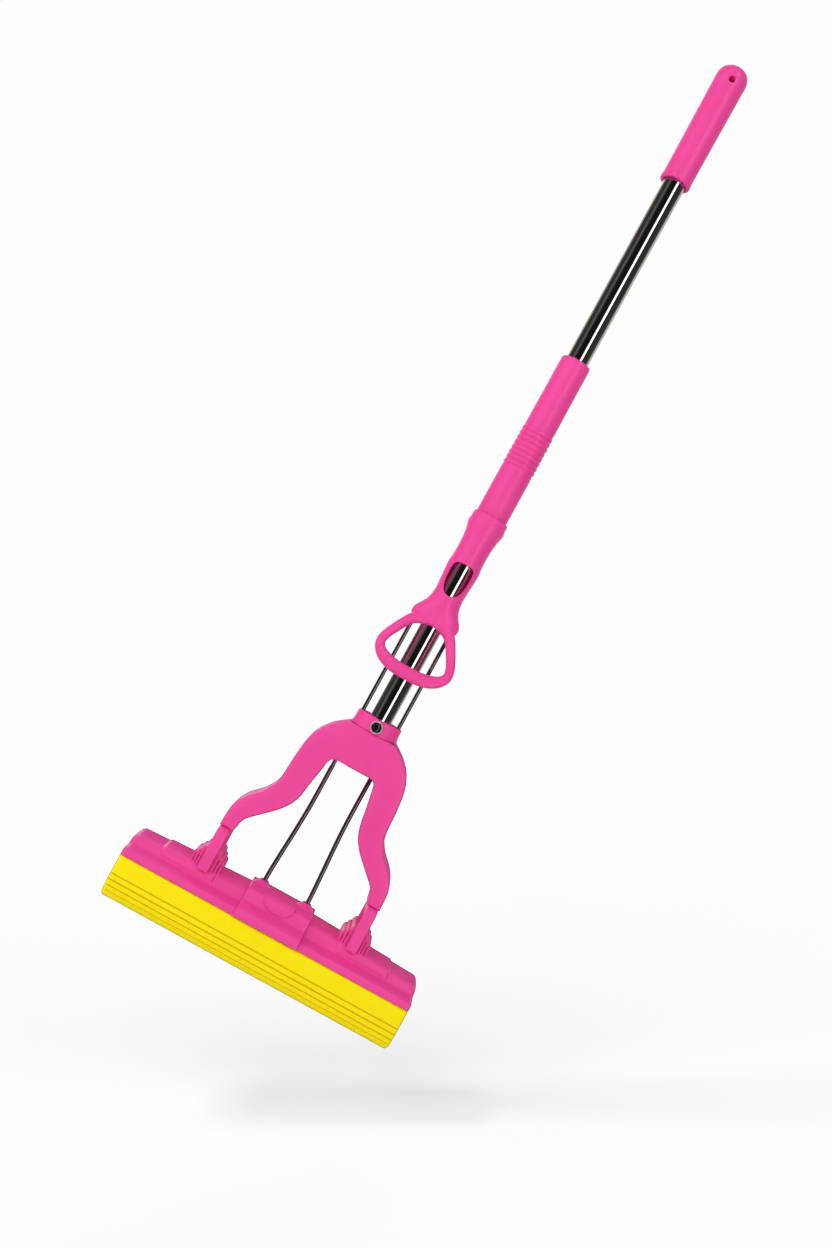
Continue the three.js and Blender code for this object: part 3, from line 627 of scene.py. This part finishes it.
# ---------------------------------------------------------------- hub
def make_hub():
    socket = oval_stack("hub_socket_moulded", [
        (246, 25, 16, 0), (283.2, 25, 16, 0), (283.3, 27.6, 18.8, 0), (284.6, 27.4, 18.7, 0),
        (286, 26.9, 18.5, 0), (288, 26.4, 18.3, 0), (292, 26.1, 18.2, 0), (297, 26.0, 18.2, 0),
        (298.3, 25.7, 17.9, 0), (299, 24.9, 17.2, 0)])
    boss_profile = [(0, -21.5), (7.2, -21.5), (8, -20.7), (8, 20.7), (7.2, 21.5), (0, 21.5)]
    boss = turn_to_y(lathe("boss", boss_profile, PINK, 48), 0, BOLT_Z)
    boolean(socket, boss, "UNION")
    boolean(socket, cylinder(POLE_RADIUS + 0.3, 258, 310, FINE))
    for _, side in SIDES:
        boolean(socket, cylinder(2.8, 200, 310, 24, (side * ROD_X, 0)))
    place(socket, "frame", "pink_shell", "hub_socket")
    ring = [(3.2, 21.8), (6.4, 21.8), (6.8, 22.2), (6.8, 22.9), (6.4, 23.3), (3.2, 23.3)]
    washer = turn_to_y(lathe("hub_washer_ring", ring, RING, 48), 0, BOLT_Z)
    place(washer, "frame", "fastener", "hub_washer")
    dome = [(0, 24.6), (1.9, 24.6), (2.0, 25.9)]
    for k in range(8):
        angle = math.radians(68 - 68 * k / 7)
        dome.append((5.6 * math.cos(angle), 23.7 + 2.9 * math.sin(angle)))
    dome += [(5.6, 23.5), (2.4, 23.4), (2.4, -26), (0, -26)]
    bolt = turn_to_y(lathe("hub_bolt_domed", dome, BLACK, 48), 0, BOLT_Z)
    place(bolt, "frame", "black_screw", "hub_bolt")
    hexagon = [(2.8, -21.8), (5, -21.8), (5, -26), (2.8, -26)]
    nut = turn_to_y(lathe("hub_nut_hex", hexagon, ZINC, 6, sharp=20), 0, BOLT_Z)
    bevel(nut, 0.35, 2, 25)
    place(nut, "frame", "fastener", "hub_nut")


# ---------------------------------------------------------------- yoke and legs
YOKE_DEPTH = 20  # from the seam to either face
YOKE_SCREWS = ((46, 248), (56, 175))
TENON_X = 88.5  # the middle of each leg's socket in the yoke's arm


def yoke_ring():
    """The yoke's outline, anticlockwise seen from the front."""
    outer = [(27.5, 283), (45, 269.5), (57, 251), (61.5, 224), (63.6, 194), (72, 175.5), (86.6, 160),
             (94.4, 145), (96.2, 121.4)]
    inner = [(80.8, 121.4), (76.4, 137.5), (63.4, 151), (47.2, 167), (37, 184), (33, 206), (28.6, 229)]
    right = [(p.x, p.y) for p in smooth_line(outer, 7)]
    back = [(p.x, p.y) for p in smooth_line(inner, 7)]
    corner = [(28.1, 233), (25.4, 237.6), (20.6, 239.8), (14, 240)]
    half = right + back + [(p.x, p.y) for p in smooth_line(corner, 3)]
    return list(reversed(half + [(-x, z) for x, z in reversed(half)]))


def cross_screw(x, z, number):
    """A pan-head screw from behind, with a cross cut in its head."""
    profile = [(0, -19.0), (2.6, -19.3), (3.5, -18.4), (3.5, -17.5), (1.6, -17.5), (1.6, 13), (0, 14)]
    screw = turn_to_y(lathe(f"yoke_cross_screw_{number}", profile, ZINC, 32), x, z)
    for turn in (0, 90):
        slot = box_piece(-2.1, 2.1, 18.4, 21, -0.35, 0.35, material=ZINC)
        slot.data.transform(Matrix.Translation((x * MM, 0, z * MM))
                            @ Matrix.Rotation(math.radians(turn + 20), 4, "Y"))
        boolean(screw, slot)
    place(screw, "frame", "fastener", f"yoke_screw_{number}")


def make_yoke():
    ring = yoke_ring()
    front = soft_plate(ring, -YOKE_DEPTH, -0.25, 3.0, 0.5, name="yoke_front_moulded")
    rear = soft_plate(ring, 0.25, YOKE_DEPTH, 0.5, 3.0, name="yoke_rear_moulded")
    for shell in (front, rear):
        for _, side in SIDES:
            boolean(shell, cylinder(3.1, 220, 246, 24, (side * ROD_X, 0)))
        boolean(shell, box_piece(-25.3, 25.3, -16.3, 16.3, 245.5, 284))
        for _, side in SIDES:
            boolean(shell, box_piece(side * TENON_X - 4.5, side * TENON_X + 4.5, -16.4, 16.4, 110, 141.5))
    places = [(side * x, z) for _, side in SIDES for x, z in YOKE_SCREWS]
    for number, (x, z) in enumerate(places, 1):
        boolean(rear, turn_to_y(cylinder(4.1, -30, -17.4, 32), x, z))
        cross_screw(x, z, number)
    place(front, "frame", "pink_shell", "yoke_front_shell")
    place(rear, "frame", "pink_shell", "yoke_rear_shell")


def make_legs():
    """Each fork is a bent strap in Y and Z, with a tenon into the yoke's arm."""
    half_side = [(-30, LEG_BOTTOM), (-30, 110), (-29.2, 113.6), (-26.4, 117.6), (-22.6, 120.2), (-19.6, 121)]
    inside = [(-24, LEG_BOTTOM), (-24, 107), (-22.8, 110.2), (-20, 111.4)]
    outline = half_side + [(-y, z) for y, z in reversed(half_side)] + [(-y, z) for y, z in inside]
    outline += list(reversed(inside))
    for name, side in SIDES:
        vertices = [(x, y, z) for x in (LEG_X - 6, LEG_X + 6) for y, z in outline]
        count = len(outline)
        faces = [(i, (i + 1) % count, count + (i + 1) % count, count + i) for i in range(count)]
        faces += [tuple(range(count)), tuple(range(count, 2 * count))]
        fork = piece("leg_fork_moulded_" + name, vertices, faces, PINK)
        bevel(fork, 1.3, 4)
        boolean(fork, box_piece(LEG_X - 4.3, LEG_X + 3.3, -15.8, 15.8, 116, 140.8, 0.5), "UNION")
        if side < 0:
            mirror(fork)
        place(fork, "frame", "pink_shell", "leg_fork_" + name)
        profile = [(0, -27.6), (1.9, -27.6), (2.4, -27.1), (2.4, 27.1), (1.9, 27.6), (0, 27.6)]
        pin = turn_to_y(lathe("leg_pin_round_" + name, profile, WIRE, 32), side * LEG_X, LEG_PIN_Z)
        place(pin, "frame", "rod_wire", "leg_pin_" + name)


# ---------------------------------------------------------------- head
def rise(x, z):
    """How much the shell's top stands higher at x than at the head's ends."""
    along = min(1, (HALF_HEAD - abs(x)) / (HALF_HEAD - HINGE_X))
    return SHELL_RISE * along * max(0, z - SHELL_LEDGE) / (SHELL_TOP - SHELL_LEDGE)


def shell_half(offset, bottom):
    """Half the shell's section, (y, z) from the bottom edge at the front up to the middle of the top."""
    half = SHELL_HALF + offset
    top = SHELL_TOP + offset
    points = [(half - 0.6, bottom), (half, bottom + 0.7), (half, bottom + 2.6), (half - 0.55, bottom + 3.4),
              (half - 0.6, 55.0 + offset), (half - 1.6, 57.2 + offset), (half - 3.6, 58.5 + offset),
              (36 + offset, 59.9 + offset), (30 + offset, 61.0 + offset), (27.4 + offset, 61.7 + offset),
              (25.6 + offset, 63 + offset), (24.4 + offset, 65.4 + offset), (21.8 + offset, top - 2.3),
              (17.5, top - 0.7), (12, top), (6, top + 0.15), (0, top + 0.2)]
    return [(p.x, p.y) for p in smooth_line(points, 3)]


def shell_ring(offset, bottom):
    """The shell's whole section, from the bottom edge at the front over the top to the back."""
    half = shell_half(offset, bottom)
    return [(-y, z) for y, z in half] + [(y, z) for y, z in reversed(half[:-1])]


def run_rings(name, stations, ring_at):
    """Joins closed rings of (y, z) at each X station, with flat caps."""
    vertices = [(x, y, z) for x in stations for y, z in ring_at(x)]
    return piece(name, vertices, stacked_faces(len(stations), len(vertices) // len(stations)), PINK)


def squeeze_ring(ring, amount, floor):
    """Pulls a section's points towards its middle, but no lower than floor, for a rounded end."""
    result = []
    for y, z in ring:
        new_y = math.copysign(max(0, abs(y) - amount), y)
        new_z = max(floor, z - amount) if z > floor + 6 else z
        result.append((new_y, new_z))
    return result


RAISED = (74, 136)  # where the shell is a little thicker, round the lug
WING_START, WING_END_RADIUS = HINGE_X + 6, 5.5
LUG_SKIN_Y = 21.6  # how far from the middle the pin's slot reaches


def wing_piece(side):
    """A wing's shell with its lug and ribs, the pin's slot, and knuckles round the bridge's pin."""
    start, radius = WING_START, WING_END_RADIUS
    flat_start, flat_end = start + 0.4, HALF_HEAD - radius
    stations = [start, flat_start] + [flat_start + (flat_end - flat_start) * k / 24 for k in range(1, 25)]
    stations += [flat_end + radius * math.sin(math.pi / 2 * k / 7) for k in range(1, 8)]
    for edge in RAISED:
        stations = [x for x in stations if abs(x - edge) > 1.3] + [edge + k * 0.35 for k in range(-3, 4)]
    stations.sort()
    section = shell_ring(0, SHELL_BOTTOM)

    def ring_at(x):
        lifted = [(y, z + rise(x, z)) for y, z in section]
        near = min(x - RAISED[0], RAISED[1] - x)
        lift = 1.5 * max(0, min(1, (near + 1.05) / 2.1))
        if lift > 0:
            shares = [max(0, min(1, (z - 62.4) / 2.2)) for _, z in lifted]
            lifted = [(y * (1 + 0.042 * lift * share), z + 0.9 * lift * share)
                      for (y, z), share in zip(lifted, shares)]
        inside = x - flat_end
        if inside > 0:
            amount = radius - math.sqrt(max(0, radius ** 2 - inside ** 2))
            return [(math.copysign(max(0, abs(y) - 0.25 * amount), y),
                     z - amount * max(0, min(1, (z - 56) / 12))) for y, z in lifted]
        if x == start:
            return squeeze_ring(lifted, 0.4, SHELL_BOTTOM)
        return lifted

    wing = run_rings("wing", stations, ring_at)
    lug_plates = [
        (rounded_ring(LEG_X - 17, LEG_X + 17, 58, 86.5, 3.2), 17, 1.6),
        (rounded_ring(LEG_X - 13.8, LEG_X + 13.8, 58, 90.5, 3.2), 19.8, 1.6),
        (rounded_ring(LEG_X - 10.5, LEG_X + 10.5, 58, 96.5, 5), 22.5, 2.0),
    ]
    for away, top, depth in ((8.8, 91.5, 23.5), (12.6, 86.8, 22.2), (16.0, 82.5, 20.0)):
        for x in (LEG_X - away, LEG_X + away):
            lug_plates.append((rounded_ring(x - 1.1, x + 1.1, 58, top, 1.0), depth, 0.8))
    for ring, depth, edge_radius in lug_plates:
        boolean(wing, soft_plate(ring, -depth, depth, edge_radius, edge_radius), "UNION")
    path = [pin_in_wing(k / 8) for k in range(9)]
    across, above = [p[0] for p in path], [p[1] for p in path]
    room = 3.6
    slot = rounded_ring(min(across) - room, max(across) + room, min(above) - room, max(above) + room, room)
    boolean(wing, soft_plate(slot, -LUG_SKIN_Y, LUG_SKIN_Y, 0.1, 0.1, 1))
    for y in (-30, 30):
        boolean(wing, turn_to_y(cylinder(4.2, y - 5, y + 5, 32), HINGE_X, HINGE_Z), "UNION")
        boolean(wing, box_piece(HINGE_X, start + 4, y - 5, y + 5, HINGE_Z - 2.5, HINGE_Z + 2.5), "UNION")
    if side < 0:
        mirror(wing)
    wing.data.materials.clear()
    wing.data.materials.append(PINK)
    return wing


def pin_in_wing(share):
    """The leg pin in the folding wing's own frame, for a share of the fold."""
    slide = next(j for j in frame["joints"] if j["name"] == "pull_slide")
    fold = next(c for c in frame["record"]["behaviour"]["couplings"] if c["joint"] == "wing_right_fold")
    travel = share * slide["range_m"][1]
    angle = fold["ratio"] * travel
    across = LEG_X - HINGE_X
    above = LEG_PIN_Z - HINGE_Z - travel / MM
    return (HINGE_X + across * math.cos(angle) - above * math.sin(angle),
            HINGE_Z + across * math.sin(angle) + above * math.cos(angle))


def make_wings():
    for name, side in SIDES:
        wing = wing_piece(side)
        wing.name = "wing_moulded_" + name
        place(wing, "wing_" + name, "pink_shell", "wing_" + name)


def make_bridge():
    half, edge = 37.5, 1.3
    outside, inside = shell_ring(BRIDGE_OUTSIDE, BRIDGE_BOTTOM), shell_ring(BRIDGE_INSIDE, BRIDGE_BOTTOM)
    stations = [-half + edge * (1 - math.cos(math.pi / 2 * k / 4)) for k in range(5)]
    stations += [-half + edge + (2 * half - 2 * edge) * k / 12 for k in range(1, 12)]
    stations += [half - edge * (1 - math.sin(math.pi / 2 * k / 4)) for k in range(5)]

    def ring_at(x):
        inset = max(0, abs(x) - (half - edge)) / edge
        amount = edge * (1 - math.sqrt(max(0, 1 - inset ** 2)))
        shrunk = squeeze_ring([(y, z + rise(HINGE_X, z)) for y, z in outside], amount, BRIDGE_BOTTOM)
        return shrunk + [(y, z + rise(HINGE_X, z)) for y, z in reversed(inside)]

    bridge = run_rings("centre_bridge_moulded", stations, ring_at)
    rod_seat = [(0, 72), (11.3, 72), (11.2, 80.4), (10.4, 82.4), (8.6, 84.2), (6.4, 85.5), (5.2, 86.6),
                (4.5, 87.4), (3.6, 87.5), (0, 87.5)]
    for _, side in SIDES:
        boolean(bridge, lathe("rod_seat", rod_seat, PINK, 48, (side * ROD_FOOT_X, 0)), "UNION")
    boolean(bridge, box_piece(-21, 21, -18, 18, 57, 80), "UNION")
    for _, side in SIDES:
        boolean(bridge, cylinder(2.5, 40, 95, 24, (side * ROD_FOOT_X, 0)))
    place(bridge, "puller", "pink_shell", "centre_bridge")
    place(panel_piece(), "puller", "pink_shell")


PANEL_HALF_WIDTH, PANEL_LENGTH = 18.5, 17
PANEL_ROWS, PANEL_COLUMNS = 28, 60


def panel_height(border):
    """How far the panel stands off the bridge, by the distance from its edge: a rim round a lower middle."""
    rim = 1.9 * min(1, max(0, border)) ** 0.5
    return rim - 0.3 - 0.8 * min(1, max(0, border - 1.9) / 0.7)


def panel_piece():
    """A blank half-oval panel that follows the front of the bridge."""
    section = [(y, z + rise(HINGE_X, z)) for y, z in shell_half(BRIDGE_OUTSIDE, BRIDGE_BOTTOM)]
    upper = [p for p in section if p[1] > 67 and p[0] > 12]
    upper.sort(key=lambda p: p[1])
    lengths = [0.0]
    for a, b in zip(upper, upper[1:]):
        lengths.append(lengths[-1] + math.hypot(b[0] - a[0], b[1] - a[1]))
    total = min(lengths[-1], PANEL_LENGTH)

    def on_section(distance):
        distance = max(0, min(distance, lengths[-1] - 1e-6))
        for i in range(len(upper) - 1):
            if lengths[i + 1] >= distance:
                share = (distance - lengths[i]) / max(1e-9, lengths[i + 1] - lengths[i])
                a, b = upper[i], upper[i + 1]
                return a[0] + (b[0] - a[0]) * share, a[1] + (b[1] - a[1]) * share
        return upper[-1]

    vertices, faces = [], []
    for r in range(PANEL_ROWS + 1):
        t = r / PANEL_ROWS
        half_width = max(1.0, PANEL_HALF_WIDTH * math.sqrt(1 - (1 - t) ** 2.6))
        for c in range(PANEL_COLUMNS + 1):
            u = 2 * c / PANEL_COLUMNS - 1
            height = panel_height(min(t * total, (1 - t) * total, (1 - abs(u)) * half_width))
            y, z = on_section(t * total)
            y2, z2 = on_section(t * total + 0.3)
            run_y, run_z = y2 - y, z2 - z
            size = math.hypot(run_y, run_z) or 1
            normal = (run_z / size, -run_y / size)
            vertices.append((u * half_width, -(y + normal[0] * height), z + normal[1] * height))
    wide = PANEL_COLUMNS + 1
    for r in range(PANEL_ROWS):
        for c in range(PANEL_COLUMNS):
            a = r * wide + c
            faces.append((a, a + 1, a + wide + 1, a + wide))
    panel = piece("bridge_blank_panel", vertices, faces, PINK, 60)
    modifier = panel.modifiers.new("body", "SOLIDIFY")
    modifier.thickness = 0.8 * MM
    modifier.offset = -1
    apply_modifiers(panel, 60)
    return panel


# ---------------------------------------------------------------- sponge
GROOVES = (29.5, 22.7, 16.2, 10.0, 4.3)
GROOVE_DEPTH, GROOVE_WIDTH = 1.9, 1.5


def sponge_section():
    """(y, z, depth share in the grooves) round the sponge, from the base's middle round the front and back; the
    share also sets the painted shade in the grooves.
    """
    outline = [(0, 0), (12, 0), (24, 0.1), (31, 0.9), (37.2, 3.6), (41.6, 8.6), (44.4, 15), (45.7, 23),
               (46, 32), (45.8, 41), (45.3, 47.6), (44.2, SPONGE_TOP)]
    fine = smooth_line(outline, 26)
    half = []
    for i, p in enumerate(fine):
        before, after = fine[max(0, i - 1)], fine[min(len(fine) - 1, i + 1)]
        along = (after - before).normalized()
        depth = 0
        if p.x > 33:
            for z in GROOVES:
                depth = max(depth, 1 - ((p.y - z) / (GROOVE_WIDTH / 2)) ** 2)
        depth = max(0, depth) ** 0.5
        half.append((p.x - along.y * depth * GROOVE_DEPTH, p.y + along.x * depth * GROOVE_DEPTH, depth))
    return half + [(30, SPONGE_TOP, 0), (15, SPONGE_TOP, 0), (0, SPONGE_TOP, 0)]


def make_sponge():
    """Two grooved halves, each running from the head's middle to its end, with a slight waviness."""
    half = sponge_section()
    ring = [(-y, z, g) for y, z, g in half] + [(y, z, g) for y, z, g in reversed(half[1:-1])]
    steps, round_end = 44, 2.6
    flat = HALF_HEAD - round_end
    stations = [flat * k / steps for k in range(steps + 1)]
    stations += [flat + round_end * math.sin(math.pi / 2 * k / 4) for k in range(1, 5)]
    for name, side in SIDES:
        vertices, groove_shade_marks = [], []
        for x in stations:
            over = max(0, x - flat)
            amount = round_end - math.sqrt(max(0, round_end ** 2 - over ** 2))
            for y, z, g in ring:
                wave = 0.35 * noise.noise(Vector((side * x / 21, y / 26, z / 15))) * (1 if z > 1 else 0)
                new_y = math.copysign(max(0, abs(y) - amount), y)
                new_z = min(SPONGE_TOP, z + amount * max(0, 1 - z / 24))
                vertices.append((side * x, new_y + wave * (1 if y > 0 else -1) * min(1, abs(y) / 30), new_z))
                groove_shade_marks.append(g)
        mesh = bpy.data.meshes.new("sponge_" + name + "_grooved")
        mesh.from_pydata([Vector(v) * MM for v in vertices], [], stacked_faces(len(stations), len(ring)))
        sponge = bpy.data.objects.new(mesh.name, mesh)
        bpy.context.scene.collection.objects.link(sponge)
        mesh.materials.append(SPONGE)
        # each point's depth share in the grooves, which the sponge material paints as shade
        attribute = mesh.attributes.new("groove_shade", "FLOAT", "POINT")
        attribute.data.foreach_set("value", groove_shade_marks)
        finish_mesh(sponge, 60)
        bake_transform(sponge)
        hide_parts("sponge_" + name, *(["sponge_centre"] if side > 0 else []))


# ---------------------------------------------------------------- carried-over CAD nodes
def finish_cad():
    """Gives each CAD node that still shows the material of its slot."""
    finishes = {"nylon": NYLON, "fastener": ZINC, "rod_wire": WIRE, "pink_shell": PINK, "pole": CHROME,
                "black_screw": BLACK, "sponge": SPONGE}
    slots = {entry["node"]: entry["material_slot"] for entry in frame["record"]["subparts"]}
    for name, node in frame["nodes"].items():
        for material_slot in node.material_slots:
            material_slot.material = finishes[slots[name]]


# ---------------------------------------------------------------- stage and light
FLOOR_DROP = 0.519  # how far the floor lies below the camera's axis
FLOOR_REACH = 3


def in_room(across, depth, height):
    """A point of the leaning room: across and up as the camera sees them, from the middle of its view."""
    return Vector((CAMERA_X, 0, CAMERA_Z)) + RIGHT * across + Vector((0, depth, 0)) + UP * height


def make_stage():
    """A pale floor that shows only the shadows on it."""
    mesh = bpy.data.meshes.new("floor")
    corners = ((-1, -1), (1, -1), (1, 1), (-1, 1))
    mesh.from_pydata([in_room(x * FLOOR_REACH, y * FLOOR_REACH, -FLOOR_DROP) for x, y in corners], [],
                     [(0, 1, 2, 3)])
    floor = bpy.data.objects.new("floor", mesh)
    bpy.context.scene.collection.objects.link(floor)
    made, nodes, links, shader = new_material("studio_floor")
    cloud = noise_texture(nodes, links, object_coordinates(nodes, links), 3, 2)
    colour = mixed(nodes, links, cloud, (0.86, 0.86, 0.86), (0.88, 0.88, 0.88))
    links.new(colour, shader.inputs["Base Color"])
    shader.inputs["Roughness"].default_value = 0.9
    shader.inputs["Specular IOR Level"].default_value = 0.0
    mesh.materials.append(made)
    floor.is_shadow_catcher = True
    floor.visible_glossy = False


# Brightness round the pole in reflections, by turn: 0 is -X, 0.25 the front, 0.5 is +X, 0.75 the back
SOFT_BOXES = (
    (0.000, 0.04), (0.050, 0.03), (0.090, 0.12), (0.125, 0.10), (0.150, 0.012), (0.285, 0.006), (0.305, 0.5),
    (0.322, 4.5), (0.341, 4.5), (0.352, 0.04), (0.440, 0.03), (0.545, 0.05), (0.585, 0.5), (0.670, 0.7),
    (0.690, 0.05), (0.790, 0.05), (0.805, 2.0), (0.835, 2.0), (0.850, 0.3), (0.905, 0.6), (0.945, 0.05),
)
BACKDROP, FILL = 0.985, 0.43


def make_world():
    """White for the eye and an even soft fill; reflections see a dark studio with tall soft boxes."""
    world = bpy.data.worlds.new("studio")
    bpy.context.scene.world = world
    world.use_nodes = True
    nodes, links = world.node_tree.nodes, world.node_tree.links
    nodes.clear()
    output = nodes.new("ShaderNodeOutputWorld")
    backdrop, fill, studio = (nodes.new("ShaderNodeBackground") for _ in range(3))
    backdrop.inputs["Strength"].default_value = BACKDROP
    fill.inputs["Strength"].default_value = FILL
    for background in (backdrop, fill):
        background.inputs["Color"].default_value = (1, 1, 1, 1)
    coordinates = nodes.new("ShaderNodeTexCoord")
    split = nodes.new("ShaderNodeSeparateXYZ")
    links.new(coordinates.outputs["Generated"], split.inputs["Vector"])
    angle = nodes.new("ShaderNodeMath")
    angle.operation = "ARCTAN2"
    links.new(split.outputs["Y"], angle.inputs[0])
    links.new(split.outputs["X"], angle.inputs[1])
    ranged = nodes.new("ShaderNodeMapRange")
    ranged.inputs["From Min"].default_value = -math.pi
    ranged.inputs["From Max"].default_value = math.pi
    links.new(angle.outputs[0], ranged.inputs["Value"])
    ramp = nodes.new("ShaderNodeValToRGB")
    while len(ramp.color_ramp.elements) < len(SOFT_BOXES):
        ramp.color_ramp.elements.new(0.5)
    for element, (position, level) in zip(ramp.color_ramp.elements, SOFT_BOXES):
        element.position = position
        element.color = (level, level * 0.95, level * 0.89, 1)
    links.new(ranged.outputs["Result"], ramp.inputs["Fac"])
    overhead = nodes.new("ShaderNodeMapRange")
    overhead.interpolation_type = "SMOOTHSTEP"
    overhead.inputs["From Min"].default_value = 0.55
    overhead.inputs["From Max"].default_value = 0.95
    overhead.inputs["To Max"].default_value = 0.12
    links.new(split.outputs["Z"], overhead.inputs["Value"])
    added = nodes.new("ShaderNodeMix")
    added.data_type = "RGBA"
    added.blend_type = "ADD"
    added.inputs["Factor"].default_value = 1
    links.new(ramp.outputs["Color"], added.inputs[6])
    links.new(overhead.outputs["Result"], added.inputs[7])
    links.new(added.outputs[2], studio.inputs["Color"])
    rays = nodes.new("ShaderNodeLightPath")
    for_light, for_eye = nodes.new("ShaderNodeMixShader"), nodes.new("ShaderNodeMixShader")
    links.new(rays.outputs["Is Glossy Ray"], for_light.inputs["Fac"])
    links.new(fill.outputs[0], for_light.inputs[1])
    links.new(studio.outputs[0], for_light.inputs[2])
    links.new(rays.outputs["Is Camera Ray"], for_eye.inputs["Fac"])
    links.new(for_light.outputs[0], for_eye.inputs[1])
    links.new(backdrop.outputs[0], for_eye.inputs[2])
    links.new(for_eye.outputs[0], output.inputs["Surface"])


def area_light(name, where, target, size, power):
    data = bpy.data.lights.new(name, "AREA")
    data.shape = "RECTANGLE"
    data.size, data.size_y = size
    data.energy = power
    light = bpy.data.objects.new(name, data)
    bpy.context.scene.collection.objects.link(light)
    light.visible_glossy = False
    direction = where - target
    light.matrix_world = Matrix.Translation(where) @ direction.to_track_quat("Z", "Y").to_matrix().to_4x4()


def make_lights():
    middle = in_room(0, 0, 0)
    area_light("key_left", in_room(-0.9, -1.5, 0.9), middle, (2.4, 2.4), 23)
    area_light("fill_right", in_room(1.3, -1.3, 0.6), middle, (1.5, 1.5), 8)
    area_light("top_soft", in_room(-1.25, -0.10, 1.5), in_room(-0.05, 0, -0.4), (0.45, 0.45), 8)
    area_light("rim_back", in_room(0.4, 1.8, -0.1), middle, (1.5, 1.5), 12)


make_camera()
make_pole()
make_grip()
make_sleeve()
make_handle()
make_rods()
make_hub()
make_yoke()
make_legs()
make_wings()
make_bridge()
make_sponge()
finish_cad()
make_stage()
make_world()
make_lights()
bpy.context.scene.view_settings.view_transform = "Standard"
